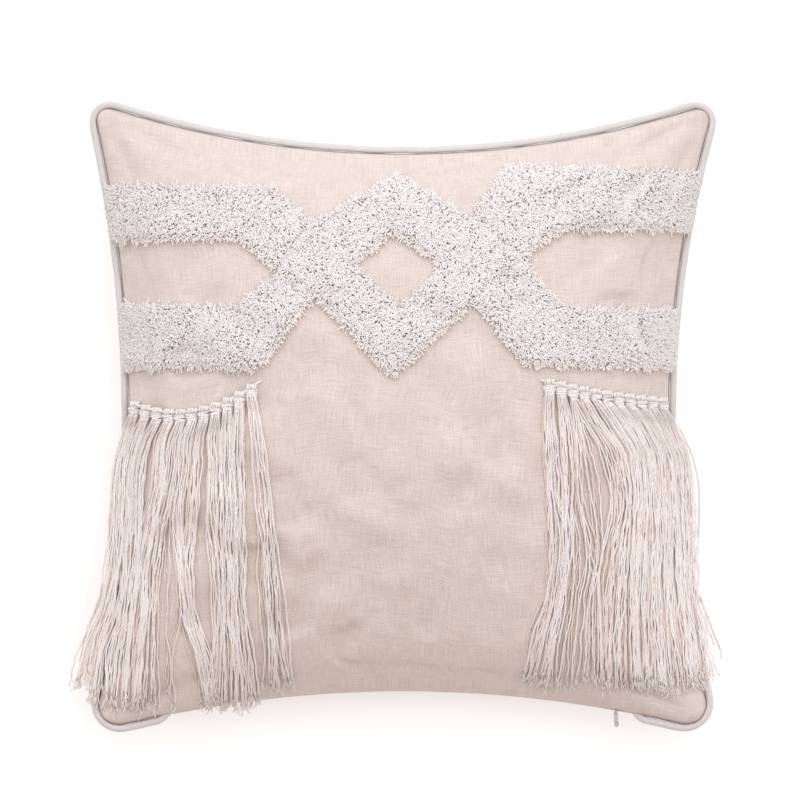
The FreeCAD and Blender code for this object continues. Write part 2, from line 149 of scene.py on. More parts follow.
def joined(parts):
    """Several results of tubes() as one: quads first, then the caps."""
    points, groups, uvs, hues_and_shades = [], {}, {}, []
    offset = 0
    for pts, faces, uv, hue_and_shade in parts:
        at = 0
        for f in faces:
            corners = f.shape[1]
            groups.setdefault(corners, []).append(f + offset)
            uvs.setdefault(corners, []).append(uv[at:at + f.size])
            at += f.size
        points.append(pts)
        hues_and_shades.append(hue_and_shade)
        offset += len(pts)
    keys = sorted(groups)
    faces = [np.concatenate(groups[k]) for k in keys]
    uv = np.concatenate([np.concatenate(uvs[k]) for k in keys])
    hue_and_shade = None if hues_and_shades[0] is None else np.concatenate(hues_and_shades)
    return np.concatenate(points), faces, uv, hue_and_shade


def smooth_step(x, low, high):
    t = np.clip((x - low) / (high - low), 0, 1)
    return t * t * (3 - 2 * t)


def wobble(x, waves, shortest, longest, seed):
    """A seeded smooth wave of x with about unit height."""
    r = np.random.default_rng(seed)
    total = np.zeros_like(x)
    for _ in range(waves):
        total += np.sin(PI2 * x / r.uniform(shortest, longest) + r.uniform(0, PI2))
    return total / math.sqrt(waves / 2) / 1.4


def cells(index):
    """The four corners of every cell of an index grid."""
    return np.stack([index[:-1, :-1], index[1:, :-1], index[1:, 1:], index[:-1, 1:]], -1).reshape(-1, 4)


def sewn(n):
    """Indices of two n by n grids that share their rim, and how many points they take."""
    front = np.arange(n * n).reshape(n, n)
    back = front.copy()
    back[1:-1, 1:-1] = n * n + np.arange((n - 2) ** 2).reshape(n - 2, n - 2)
    return front, back, back.max() + 1


def place(obj, slot, body, *replaced):
    """Puts a piece on its body, in place of the nodes it stands for; slot is not used."""
    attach(obj, body)
    if replaced:
        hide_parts(*replaced)
    return obj


# ---------------------------------------------------------------- materials

class Shade:
    """A node material with one Principled shader."""

    def __init__(self, name, **fixed):
        self.material = bpy.data.materials.new(name)
        self.material.use_nodes = True
        self.tree = self.material.node_tree
        self.shader = self.tree.nodes["Principled BSDF"]
        for key, value in fixed.items():
            self.shader.inputs[key.replace("_", " ")].default_value = value

    def node(self, kind, *inputs, **settings):
        made = self.tree.nodes.new("ShaderNode" + kind)
        for key, value in settings.items():
            setattr(made, key, value)
        for slot, value in enumerate(inputs):
            if value is None:
                continue
            self.feed(made.inputs[slot], value)
        return made

    def feed(self, socket, value):
        if isinstance(value, bpy.types.NodeSocket):
            self.tree.links.new(value, socket)
        else:
            socket.default_value = value

    def math(self, operation, *inputs):
        return self.node("Math", *inputs, operation=operation).outputs[0]

    def noise(self, vector, scale, detail=3.0, roughness=0.55):
        made = self.node("TexNoise", vector)
        made.inputs["Scale"].default_value = scale
        made.inputs["Detail"].default_value = detail
        made.inputs["Roughness"].default_value = roughness
        return made.outputs["Fac"]

    def span(self, value, low, high, to_low=0.0, to_high=1.0):
        made = self.node("MapRange", value)
        for slot, number in zip((1, 2, 3, 4), (low, high, to_low, to_high)):
            made.inputs[slot].default_value = number
        return made.outputs[0]

    def mix(self, share, a, b, blend="MIX"):
        made = self.tree.nodes.new("ShaderNodeMix")
        made.data_type = "RGBA"
        made.blend_type = blend
        self.feed(made.inputs[0], share)
        self.feed(made.inputs[6], a)
        self.feed(made.inputs[7], b)
        return made.outputs[2]

    def stretch(self, vector, scale, turn=0.0):
        made = self.node("Mapping", vector)
        made.inputs["Scale"].default_value = scale
        made.inputs["Rotation"].default_value = (0, 0, turn)
        return made.outputs[0]

    def bump(self, height, strength, distance):
        made = self.node("Bump")
        made.inputs["Strength"].default_value = strength
        made.inputs["Distance"].default_value = distance
        self.feed(made.inputs["Height"], height)
        return made.outputs[0]

    def finish(self, colour, normal=None, roughness=None):
        self.feed(self.shader.inputs["Base Color"], colour)
        if normal is not None:
            self.feed(self.shader.inputs["Normal"], normal)
        if roughness is not None:
            self.feed(self.shader.inputs["Roughness"], roughness)
        return self.material


def srgb(r, g, b):
    """A display colour as linear light."""
    def one(c):
        c /= 255
        return c / 12.92 if c <= 0.04045 else ((c + 0.055) / 1.055) ** 2.4
    return (one(r), one(g), one(b), 1.0)


def woven(name, light, dark, thread, turn=0.0, relief=0.35, sheen=0.25, slub=0.5):
    """Plain weave from the flat cloth's coordinates: over and under threads, slubs and soft mottling."""
    m = Shade(name, Sheen_Weight=sheen, Sheen_Roughness=0.5, Specular_IOR_Level=0.25)
    m.shader.inputs["Sheen Tint"].default_value = (1.0, 0.96, 0.92, 1.0)
    uv = m.node("UVMap", uv_map="UVMap").outputs[0]
    flat = m.stretch(uv, (1.0, 1.0, 1.0), turn)
    wander = m.noise(flat, 900.0, 2.0)
    shift = m.math("MULTIPLY", m.math("SUBTRACT", wander, 0.5), 1.4)
    parts = m.node("SeparateXYZ", flat)
    warp = m.math("SINE", m.math("ADD", m.math("MULTIPLY", parts.outputs[0], math.pi / thread), shift))
    weft = m.math("SINE", m.math("ADD", m.math("MULTIPLY", parts.outputs[1], math.pi / thread), shift))
    weave = m.math("MULTIPLY", warp, weft)
    long_x = m.noise(m.stretch(flat, (60.0, 1500.0, 1.0)), 1.0, 2.0)
    long_y = m.noise(m.stretch(flat, (1500.0, 60.0, 1.0)), 1.0, 2.0)
    slubs = m.math("ADD", long_x, long_y)
    raised = m.math("ADD", m.math("MULTIPLY", weave, 0.5), m.math("MULTIPLY", slubs, slub))
    mottle = m.noise(flat, 55.0, 4.0)
    share = m.math("ADD", m.span(weave, -1.0, 1.0, 0.0, 0.56), m.span(slubs, 0.75, 1.25, 0.08, 0.44))
    share = m.math("MULTIPLY", share, m.span(mottle, 0.3, 0.7, 0.92, 1.06))
    colour = m.mix(share, dark, light)
    return m.finish(colour, m.bump(raised, relief, 0.35 * MM), m.span(mottle, 0.2, 0.8, 0.78, 0.92))


def spun(name, light, warm, deep, twist, relief, sheen=0.35):
    """Twisted yarn: plies wind along the tube's own length; hue_and_shade R is hue, G is painted shade,
    mixing towards the deep colour where a fibre lies low or under others.
    """
    m = Shade(name, Roughness=0.85, Sheen_Weight=sheen, Sheen_Roughness=0.4, Specular_IOR_Level=0.3)
    hue_and_shade = m.node("Attribute", attribute_name="hue_and_shade").outputs["Color"]
    parts = m.node("SeparateColor", hue_and_shade)
    uv = m.node("UVMap", uv_map="UVMap").outputs[0]
    uvp = m.node("SeparateXYZ", uv)
    turn = m.math("ADD", m.math("MULTIPLY", uvp.outputs[0], 2 * PI2),
                  m.math("MULTIPLY", uvp.outputs[1], PI2 / twist))
    ply = m.math("SINE", turn)
    place_ = m.node("TexCoord").outputs["Object"]
    hairs = m.noise(m.stretch(place_, (2600.0, 500.0, 2600.0)), 1.0, 3.0)
    raised = m.math("ADD", m.math("MULTIPLY", ply, 0.5), hairs)
    colour = m.mix(parts.outputs[0], warm, light)
    # painted shade: darker in the grooves between the plies, times a random hair tone
    shade = m.math("MULTIPLY", m.span(ply, -1.0, -0.1, 0.82, 1.0), m.span(hairs, 0.3, 0.65, 0.92, 1.03))
    colour = m.mix(1.0, colour, shade, "MULTIPLY")
    # painted shade: G of hue_and_shade mixes the yarn towards its deep colour where it lies low or under
    # others
    colour = m.mix(parts.outputs[1], deep, colour)
    return m.finish(colour, m.bump(raised, relief, 0.25 * MM))


CANVAS = woven("canvas_cream", srgb(245, 232, 226), srgb(182, 166, 158), 0.85 * MM)
PIPING = woven("piping_bias_cloth", srgb(228, 223, 224), srgb(202, 195, 193), 0.6 * MM, math.pi / 4, 0.3)
LINING = woven("insert_lining", srgb(248, 248, 248), srgb(228, 228, 230), 0.4 * MM, 0.0, 0.2)
TAPE = woven("zip_tape_weave", srgb(238, 232, 224), srgb(206, 198, 188), 0.35 * MM, math.pi / 4, 0.4)
# each spun yarn: light and warm own colours, then the painted shade colour taken by fibres that lie low or
# under others
YARN = spun("yarn_two_ply", srgb(250, 246, 249), srgb(248, 238, 230), srgb(226, 208, 196), 3.6 * MM, 0.5)
CORD = spun("cord_two_ply", srgb(250, 246, 247), srgb(248, 240, 232), srgb(226, 210, 198), 4.2 * MM, 0.5)
PILE = spun("cut_pile", srgb(253, 250, 254), srgb(252, 246, 240), srgb(236, 222, 214), 2.4 * MM, 0.2, 0.6)


def grainy(name, noise, dark, light, relief, deep, **fixed):
    """A plain material mottled and raised by one noise (scale, detail, roughness)."""
    m = Shade(name, **fixed)
    grain = m.noise(m.node("TexCoord").outputs["Object"], *noise)
    return m.finish(m.mix(m.span(grain, 0.3, 0.7), dark, light), m.bump(grain, relief, deep))


def metal_material():
    m = Shade("zip_metal_brushed", Metallic=1.0)
    at = m.node("TexCoord").outputs["Object"]
    brushed = m.noise(m.stretch(at, (900.0, 9000.0, 900.0)), 1.0, 3.0)
    worn = m.noise(at, 700.0, 4.0)
    colour = m.mix(m.span(worn, 0.35, 0.7), srgb(120, 118, 116), srgb(176, 174, 172))
    return m.finish(colour, m.bump(brushed, 0.25, 0.05 * MM), m.span(worn, 0.3, 0.7, 0.28, 0.5))


FIBRE = grainy("fibre_fill", (160.0, 5.0, 0.7), srgb(226, 226, 228), srgb(252, 252, 252), 0.8, 2 * MM,
               Roughness=0.95, Sheen_Weight=0.4, Specular_IOR_Level=0.2)
COIL = grainy("zip_coil_nylon", (2500.0, 3.0), srgb(214, 206, 196), srgb(238, 232, 224), 0.2, 0.05 * MM,
              Roughness=0.4, Specular_IOR_Level=0.5)
METAL = metal_material()


# ---------------------------------------------------------------- cover: outline, inflation, fit

def cad_tree(node):
    mesh = frame["nodes"][node].data
    points = [v.co.copy() for v in mesh.vertices]
    return BVHTree.FromPolygons(points, [tuple(p.vertices) for p in mesh.polygons])


def cad_outline(rays=2880):
    """The panel's plan outline at the seam, by rays from outside, as angle-ordered points."""
    tree = cad_tree("cover_front_panel")
    points = []
    for a in np.linspace(-math.pi, math.pi, rays, endpoint=False):
        away = Vector((math.cos(a), math.sin(a), 0))
        hit = tree.ray_cast(away * 0.5 + Vector((0, 0, SEAM + 1.2 * MM)), -away)[0]
        points.append((hit.x, hit.y))
    return np.array(points)


def side_paths(outline, cells):
    """The four sides between the corner tips, each as cells + 1 points evenly spaced along it."""
    count = len(outline)
    reach = np.linalg.norm(outline, axis=1)
    tips = []
    for quarter in (-135, -45, 45, 135):
        middle = int(round((quarter + 180) / 360 * count))
        near = np.arange(middle - count // 24, middle + count // 24) % count
        tips.append(near[np.argmax(reach[near])])
    found = []
    for i, start in enumerate(tips):
        end = tips[(i + 1) % 4]
        span = (end - start) % count
        line = outline[(start + np.arange(span + 1)) % count]
        step = np.linalg.norm(np.diff(line, axis=0), axis=1)
        length = np.concatenate([[0], np.cumsum(step)])
        want = np.linspace(0, length[-1], cells + 1)
        found.append(np.stack([np.interp(want, length, line[:, k]) for k in (0, 1)], axis=1))
    bottom, right, top, left = found
    return {"bottom": bottom, "right": right, "top": top[::-1], "left": left[::-1]}


def spread(bottom, top, left, right):
    """Fills a grid from its four edges: axis 0 runs left to right, axis 1 bottom to top."""
    n = len(bottom)
    s = np.linspace(0, 1, n)[:, None, None]
    t = np.linspace(0, 1, n)[None, :, None]
    corners = ((1 - s) * (1 - t) * bottom[0] + s * (1 - t) * bottom[-1]
               + (1 - s) * t * top[0] + s * t * top[-1])
    return ((1 - t) * bottom[:, None] + t * top[:, None]
            + (1 - s) * left[None, :] + s * right[None, :] - corners)


def finer(grid):
    """Twice as many cells, on smooth curves through the old points."""
    for axis in (0, 1):
        g = np.moveaxis(grid, axis, 0)
        padded = np.concatenate([2 * g[:1] - g[1:2], g, 2 * g[-1:] - g[-2:-1]])
        middle = (9 * (padded[1:-2] + padded[2:-1]) - padded[:-3] - padded[3:]) / 16
        out = np.empty((2 * len(g) - 1,) + g.shape[1:])
        out[0::2] = g
        out[1::2] = middle
        grid = np.moveaxis(out, 0, axis)
    return grid


def inflated():
    """Two flat squares sewn round their rim and blown up: the front's and the back's grids."""
    n = CELLS + 1
    line = np.linspace(-FLAT / 2, FLAT / 2, n)
    x, y = np.meshgrid(line, line, indexing="ij")
    rise = 0.05 * np.sqrt((1 - (2 * x / FLAT) ** 2) * (1 - (2 * y / FLAT) ** 2))
    uneven = wobble(x + 0.4 * y, 6, 50 * MM, 150 * MM, 11) * wobble(y - 0.3 * x, 6, 50 * MM, 150 * MM, 12)
    rise = rise * (1 + 0.14 * uneven)
    front, back, count = sewn(n)
    points = np.zeros((count, 3))
    points[front.ravel()] = np.stack([x, y, rise], -1).reshape(-1, 3)
    inner = np.stack([x, y, -rise], -1)[1:-1, 1:-1].reshape(-1, 3)
    points[n * n:] = inner
    flat = points.copy()
    flat[:, 2] = 0
    obj = mesh_object("inflating", points, [cells(front), cells(back)[:, ::-1]])
    obj.shape_key_add(name="Basis")
    key = obj.shape_key_add(name="flat")
    key.data.foreach_set("co", flat.astype(np.float32).ravel())
    key.value = 0
    cloth = obj.modifiers.new("Cloth", "CLOTH")
    for setting, value in CANVAS_CLOTH.items():
        setattr(cloth.settings, setting, value)
    cloth.settings.effector_weights.gravity = 0
    cloth.settings.rest_shape_key = key
    cloth.collision_settings.use_collision = False
    cloth.collision_settings.use_self_collision = False
    cloth.point_cache.frame_end = SIM_FRAMES
    for step in range(1, SIM_FRAMES + 1):
        scene.frame_set(step)
    shaped = obj.evaluated_get(bpy.context.evaluated_depsgraph_get())
    co = np.zeros(count * 3, np.float32)
    shaped.data.vertices.foreach_get("co", co)
    co = co.reshape(-1, 3).astype(float)
    bpy.data.objects.remove(obj)
    scene.frame_set(1)
    return co[front], co[back]


def rim_height(side, x, on_bottom):
    """Height of a panel's rim: just off the seam, and the slit's half height along the zip."""
    gap = 0.1 * MM
    if not on_bottom:
        return np.full_like(x, SEAM + side * gap)
    inside = smooth_step(x, ZIP_LEFT - 5 * MM, ZIP_LEFT) * (1 - smooth_step(x, ZIP_RIGHT, ZIP_RIGHT + 5 * MM))
    return SEAM + side * (gap + (SLIT_HALF - gap) * inside)


def edge_target(side, paths):
    made = {}
    for name, line in paths.items():
        made[name] = np.column_stack([line, rim_height(side, line[:, 0], name == "bottom")])
    return made


def fold(grid, corner, angle, width, deep, start, end):
    """A soft valley that runs in from a corner; added to the heights."""
    d = grid[..., :2] - np.array(corner)
    way = np.array([math.cos(angle), math.sin(angle)])
    along = d @ way
    off = d @ np.array([-way[1], way[0]])
    wide = width * (0.6 + 0.8 * np.clip(along / end, 0, 1.5))
    return -deep * np.exp(-(off / wide) ** 2) * smooth_step(along, start, start + 18 * MM) * (
        1 - smooth_step(along, end * 0.5, end))


def frame_height(node, side, grid):
    """Height of the frame's panel over each grid point, on the outer face; the seam where there is none."""
    tree = cad_tree(node)
    way = Vector((0, 0, -side))
    heights = np.full(grid.shape[:2], SEAM)
    for i, j in np.ndindex(heights.shape):
        hit = tree.ray_cast(Vector((grid[i, j, 0], grid[i, j, 1], SEAM + side)), way)[0]
        if hit is not None:
            heights[i, j] = hit.z
    return heights


def blurred(field, times):
    for _ in range(times):
        p = np.pad(field, 1, mode="edge")
        field = (p[:-2, 1:-1] + p[2:, 1:-1] + p[1:-1, :-2] + p[1:-1, 2:] + 4 * field) / 8
    return field


def seam_puckers(sx, sy, side):
    """Small gathers along all four seams, deepest just inside them and dying out over the cloth."""
    total = np.zeros_like(sx)
    for along, deep, seed in ((sx, sy, 3), (sx, FLAT - sy, 4), (sy, sx, 5), (sy, FLAT - sx, 6)):
        gathers = wobble(along, 9, 15 * MM, 46 * MM, seed + 10 * (side > 0))
        patchy = 0.5 + 0.5 * wobble(along, 3, 90 * MM, 240 * MM, seed + 30)
        near = deep / PUCKER_DEPTH
        total += PUCKER_RISE * gathers * near * np.exp(1 - near) * patchy
    return total


def fit_cover(grid, side, crown, node, paths):
    """Brings one inflated grid to the frame's outline and height, and adds puckers and folds."""
    grid = finer(grid)
    n = len(grid)
    grid[..., 2] = SEAM + grid[..., 2] * crown / np.abs(grid[..., 2]).max()
    target = edge_target(side, paths)
    shift = [target["bottom"] - grid[:, 0], target["top"] - grid[:, -1],
             target["left"] - grid[0], target["right"] - grid[-1]]
    moved = grid + spread(*shift)
    plan = spread(target["bottom"], target["top"], target["left"], target["right"])
    s = np.linspace(0, FLAT, n)
    sx, sy = np.meshgrid(s, s, indexing="ij")
    deep = np.minimum(np.minimum(sx, FLAT - sx), np.minimum(sy, FLAT - sy))
    free = smooth_step(deep, 0, 60 * MM)[..., None]
    out = plan.copy()
    out[..., :2] += free * (moved - plan)[..., :2]
    height = frame_height(node, side, out)
    wrinkle = moved[..., 2] - height
    wrinkle = np.clip(wrinkle - blurred(wrinkle, 260), -WRINKLE, WRINKLE)
    wrinkle *= smooth_step(deep, 10 * MM, 60 * MM)
    detail = seam_puckers(sx, sy, side)
    detail += 0.28 * MM * wobble(sx + 0.35 * sy, 5, 55 * MM, 150 * MM, 41 + side) * wobble(
        sy, 4, 60 * MM, 160 * MM, 47 + side)
    if side > 0:
        tips = {"bl": out[0, 0, :2], "br": out[-1, 0, :2], "tl": out[0, -1, :2], "tr": out[-1, -1, :2]}
        for tip, angle, width, depth, reach in CORNER_FOLDS:
            detail += fold(out, tips[tip], angle, width * MM, depth * MM, 14 * MM, reach * MM)
        out[..., 2] = height + wrinkle + detail * smooth_step(deep, 0, 6 * MM)
    else:
        press = smooth_step(height, 1 * MM, 14 * MM)
        out[..., 2] = np.maximum(height + (wrinkle - detail) * press * smooth_step(deep, 0, 6 * MM), 0.3 * MM)
    out[:, 0] = target["bottom"]
    out[:, -1] = target["top"]
    out[0] = target["left"]
    out[-1] = target["right"]
    return out


def ring_order(n):
    """Grid indices round the rim, anticlockwise seen from the front."""
    k = np.arange(n - 1)
    bottom = np.stack([k, 0 * k], 1)
    right = np.stack([0 * k + n - 1, k], 1)
    top = np.stack([n - 1 - k, 0 * k + n - 1], 1)
    left = np.stack([0 * k, n - 1 - k], 1)
    return np.concatenate([bottom, right, top, left])


def panel_object(name, grid, side, material, hems):
    """A panel from its grid, with its rim turned in along the hem depths (depth, rise)."""
    n = len(grid)
    index = np.arange(n * n).reshape(n, n)
    s = np.linspace(0, FLAT, n)
    flat = np.stack(np.meshgrid(s, s, indexing="ij"), -1).reshape(-1, 2)
    order = ring_order(n)
    rim = grid[order[:, 0], order[:, 1]]
    rim_index = index[order[:, 0], order[:, 1]]
    rim_flat = flat[rim_index]
    way = unit(np.roll(rim, -1, 0)[:, :2] - np.roll(rim, 1, 0)[:, :2])
    for _ in range(6):
        way = unit(way + np.roll(way, 1, 0) + np.roll(way, -1, 0))
    inward = np.stack([-way[:, 1], way[:, 0]], 1)
    points = [grid.reshape(-1, 3)]
    flats = [flat]
    last = rim_index
    total = n * n
    faces = [cells(index)]
    for depth, rise in hems:
        ring = rim.copy()
        ring[:, :2] += inward * depth
        ring[:, 2] += side * rise
        now = total + np.arange(len(rim))
        total += len(rim)
        points.append(ring)
        flats.append(rim_flat - inward * depth)
        faces.append(np.stack([last, now, np.roll(now, -1), np.roll(last, -1)], -1))
        last = now
    faces = np.concatenate(faces)
    if side < 0:
        faces = faces[:, ::-1]
    flats = np.concatenate(flats)
    obj = mesh_object(name, np.concatenate(points), [faces], flats[faces.ravel()])
    obj.data.materials.append(material)
    return obj


paths = side_paths(cad_outline(), 2 * CELLS)
sim_front, sim_back = inflated()
front = fit_cover(sim_front, 1, FRONT_CROWN, "cover_front_panel", paths)
back = fit_cover(sim_back, -1, BACK_CROWN, "cover_back_panel", paths)
HEMS = ((1.4 * MM, 0.25 * MM), (5.0 * MM, 0.3 * MM), (14.0 * MM, 0.4 * MM))
cover_front = place(panel_object("pillow_cover_front", front, 1, CANVAS, HEMS), "canvas", COVER_BODY,
                    "cover_front_panel")
cover_back = place(panel_object("pillow_cover_back", back, -1, CANVAS, HEMS), "canvas", COVER_BODY,
                   "cover_back_panel")

# heights of the front over the plan, for everything that lies on it
FIELD_STEP = 2.5 * MM
FIELD_HALF = 265 * MM
PIPING_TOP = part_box("piping_sleeve")[1].z


def face_tree(grid):
    n = len(grid)
    quads = cells(np.arange(n * n).reshape(n, n))
    return BVHTree.FromPolygons([Vector(p) for p in grid.reshape(-1, 3)], quads.tolist())


def height_field(grid):
    tree = face_tree(grid)
    line = np.arange(-FIELD_HALF, FIELD_HALF + FIELD_STEP / 2, FIELD_STEP)
    field = np.full((len(line), len(line)), np.nan)
    down = Vector((0, 0, -1))
    inside = KDTree(len(line) ** 2)
    for i, x in enumerate(line):
        for j, y in enumerate(line):
            hit = tree.ray_cast(Vector((x, y, 1)), down)[0]
            if hit is not None:
                field[i, j] = hit.z
                inside.insert((x, y, 0), i * len(line) + j)
    inside.balance()
    level = PIPING_TOP + 0.8 * MM
    for i, j in np.argwhere(np.isnan(field)):
        _, at, gap = inside.find((line[i], line[j], 0))
        field[i, j] = max(level - 0.12 * gap, 60 * MM)
    return line, field


LINE, FIELD = height_field(front)
LAY = np.maximum(FIELD, PIPING_TOP + 0.5 * MM)
LAY = np.maximum(blurred(LAY, 10), LAY)


def sample(field, x, y):
    """Bilinear value of a plan field."""
    fx = np.clip((np.asarray(x) + FIELD_HALF) / FIELD_STEP, 0, len(LINE) - 1.001)
    fy = np.clip((np.asarray(y) + FIELD_HALF) / FIELD_STEP, 0, len(LINE) - 1.001)
    i = fx.astype(int)
    j = fy.astype(int)
    a = fx - i
    b = fy - j
    return ((1 - a) * (1 - b) * field[i, j] + a * (1 - b) * field[i + 1, j]
            + (1 - a) * b * field[i, j + 1] + a * b * field[i + 1, j + 1])


# ---------------------------------------------------------------- insert

def shrunk(grid, edge, lift, side):
    """A copy of a panel grid inside it: drawn in at the edge and off the cloth everywhere."""
    out = grid[::2, ::2].copy()
    scale = 1 - edge / (FLAT / 2)
    out[..., :2] *= scale
    above = (out[..., 2] - SEAM) * side
    out[..., 2] = SEAM + side * np.maximum(above * (1 - lift / (70 * MM)), 0.1 * MM)
    return out


CASE_EDGE = 14 * MM
for part, grid, side in (("front", front, 1), ("back", back, -1)):
    inside = shrunk(grid, CASE_EDGE, 3.2 * MM, side)
    casing = panel_object("insert_cloth_" + part, inside, side, LINING, ((4 * MM, 0.2 * MM),))
    place(casing, "lining", COVER_BODY, "insert_casing_" + part)


def fill_object():
    top = shrunk(front, CASE_EDGE + 3 * MM, 5.5 * MM, 1)
    low = shrunk(back, CASE_EDGE + 3 * MM, 5.5 * MM, -1)
    upper, lower, _ = sewn(len(top))
    points = np.concatenate([top.reshape(-1, 3), low[1:-1, 1:-1].reshape(-1, 3)])
    lumps = wobble(points[:, 0], 6, 25 * MM, 70 * MM, 71) * wobble(points[:, 1], 6, 25 * MM, 70 * MM, 72)
    points[:, 2] += 0.6 * MM * lumps * np.where(points[:, 2] > SEAM, -np.abs(np.sign(lumps)), 1) * (
        np.abs(points[:, 2] - SEAM) > 5 * MM)
    obj = mesh_object("insert_fibre", points, [cells(upper), cells(lower)[:, ::-1]])
    obj.data.materials.append(FIBRE)
    return obj


fibre = place(fill_object(), "fibre", COVER_BODY, "insert_fill")


# ---------------------------------------------------------------- piping

PIPING_OFFSET = 2.75 * MM
PIPING_RADIUS = 2.55 * MM
CORE_SHARE = 0.55


def piping_line(offset):
    """Points of the piping's centre line from the zip's right end round to its left end."""
    loop = np.concatenate([paths["bottom"][:-1], paths["right"][:-1],
                           paths["top"][:0:-1], paths["left"][:0:-1]])
    step = np.linalg.norm(np.diff(np.vstack([loop, loop[:1]]), axis=0), axis=1)
    length = np.concatenate([[0], np.cumsum(step)])
    want = np.linspace(0, length[-1], 1401)[:-1]
    ring = np.vstack([loop, loop[:1]])
    loop = np.stack([np.interp(want, length, ring[:, k]) for k in (0, 1)], 1)
    for _ in range(12):
        loop = (np.roll(loop, 1, 0) + 2 * loop + np.roll(loop, -1, 0)) / 4
    way = unit(np.roll(loop, -1, 0) - np.roll(loop, 1, 0))
    outward = np.stack([way[:, 1], -way[:, 0]], 1)
    on_bottom = (np.arange(len(loop)) < len(loop) // 4)
    first = int(np.argmax(on_bottom & (loop[:, 0] > ZIP_RIGHT + 2 * MM)))
    last = int(np.argmax(on_bottom & (loop[:, 0] > ZIP_LEFT)))
    order = np.arange(first, last + len(loop)) % len(loop)
    line = loop[order]
    out = outward[order]
    count = len(line)
    along = np.minimum(np.arange(count), np.arange(count)[::-1]) * (length[-1] / 1400)
    dip = 1 - smooth_step(along, 0, 16 * MM)
    reach = offset - 5.5 * MM * dip
    sway = 0.35 * MM * wobble(np.arange(count) * (length[-1] / 1400), 8, 22 * MM, 70 * MM, 61)
    z = SEAM + sway
    return np.column_stack([line + out * (reach + 0.25 * sway)[:, None], z]), along


def piping():
    centre, along = piping_line(PIPING_OFFSET)
    size = PIPING_RADIUS * (1 + 0.035 * wobble(np.arange(len(centre)) * 1.3 * MM, 10, 9 * MM, 40 * MM, 62))
    size *= 0.45 + 0.55 * smooth_step(along, 0, 12 * MM)
    pts, faces, uv, _ = tubes(centre[None], size[None], 16)
    uv = uv * (PI2 * 2.6 * MM, 1.0)
    sleeve = mesh_object("piping_cover", pts, faces, uv)
    sleeve.data.materials.append(PIPING)
    # painted shade: the core, inside the sleeve, is given G 0.8 and so is a little darker
    core_pts, core_faces, core_uv, core_tint = tubes(centre[None, ::2], size[None, ::2] * CORE_SHARE, 8,
                                                     hue_and_shade=np.full((1, len(centre[::2]), 2), (0.6, 0.8)))
    core = mesh_object("piping_cotton_core", core_pts, core_faces, core_uv, core_tint)
    core.data.materials.append(CORD)
    return sleeve, core


sleeve, core = piping()
place(sleeve, "piping", COVER_BODY, "piping_sleeve")
place(core, "cord", COVER_BODY, "piping_core")


# ---------------------------------------------------------------- zip

def bottom_line(depth, x_from, x_to, count):
    """Points a depth into the pillow from the bottom seam, between two plan positions."""
    line = paths["bottom"]
    way = unit(np.gradient(line, axis=0))
    inner = line + np.stack([-way[:, 1], way[:, 0]], 1) * depth
    x = np.linspace(x_from, x_to, count)
    return np.column_stack([x, np.interp(x, inner[:, 0], inner[:, 1])])


def zip_tape(side):
    edges = [bottom_line(d * MM, ZIP_LEFT, ZIP_RIGHT, 260) for d in (8.0, 8.4, 11.0, 13.6, 14.0)]
    low, high = 0.2 * MM, 0.62 * MM
    middle = 0.5 * (low + high)
    profile = [(edges[0], middle), (edges[1], high), (edges[2], high + 0.05 * MM), (edges[3], high),
               (edges[4], middle), (edges[3], low), (edges[2], low), (edges[1], low)]
    points = np.stack([np.column_stack([e, np.full(len(e), SEAM + side * z)]) for e, z in profile], 1)
    m, k, _ = points.shape
    index = np.arange(m * k).reshape(m, k)
    turned = np.roll(index, -1, axis=1)
    quads = np.stack([index[:-1], index[1:], turned[1:], turned[:-1]], -1).reshape(-1, 4)
    if side > 0:
        quads = quads[:, ::-1]
    caps = np.stack([index[0], index[-1][::-1]])
    if side < 0:
        caps = caps[:, ::-1]
    faces = [quads, caps]
    flat = points.reshape(-1, 3)[:, :2]
    uv = np.concatenate([flat[quads.ravel()], flat[caps.ravel()]])
    obj = mesh_object("zip_band_" + ("front" if side > 0 else "back"), points.reshape(-1, 3), faces, uv)
    obj.data.materials.append(TAPE)
    return obj


def zip_coil(side):
    """A wound nylon wire lying on its seam, one turn every tooth."""
    pitch = 1.4 * MM
    turns = int((ZIP_RIGHT - ZIP_LEFT) / pitch)
    count = turns * 8
    t = np.arange(count) / 8
    centre = bottom_line(6.7 * MM, ZIP_LEFT + 0.6 * MM, ZIP_RIGHT - 0.6 * MM, count)
    angle = PI2 * t
    depth = 0.85 * MM * np.cos(angle)
    rise = SEAM + side * (0.66 * MM + 0.22 * MM * np.sin(angle))
    line = np.column_stack([centre[:, 0], centre[:, 1] + depth, rise])
    pts, faces, uv, _ = tubes(line[None], np.full((1, count), 0.26 * MM), 6, (1.0, 0.0, 0.0))
    obj = mesh_object("zip_spiral_" + ("front" if side > 0 else "back"), pts, faces, uv)
    obj.data.materials.append(COIL)
    return obj


for side, part in ((1, "front"), (-1, "back")):
    place(zip_tape(side), "zip_tape", COVER_BODY, "zip_tape_" + part)
    place(zip_coil(side), "zip_coil", COVER_BODY, "zip_coil_" + part)
for node in ("zip_slider", "zip_pull", "zip_stop_open_end", "zip_stop_closed_end"):
    holder = frame["nodes"][node]
    holder.data.materials.clear()
    holder.data.materials.append(METAL)


# ---------------------------------------------------------------- tufted bands

PILE_AREA = 0.78 * MM * MM
PILE_LONG = (6.2 * MM, 8.2 * MM)


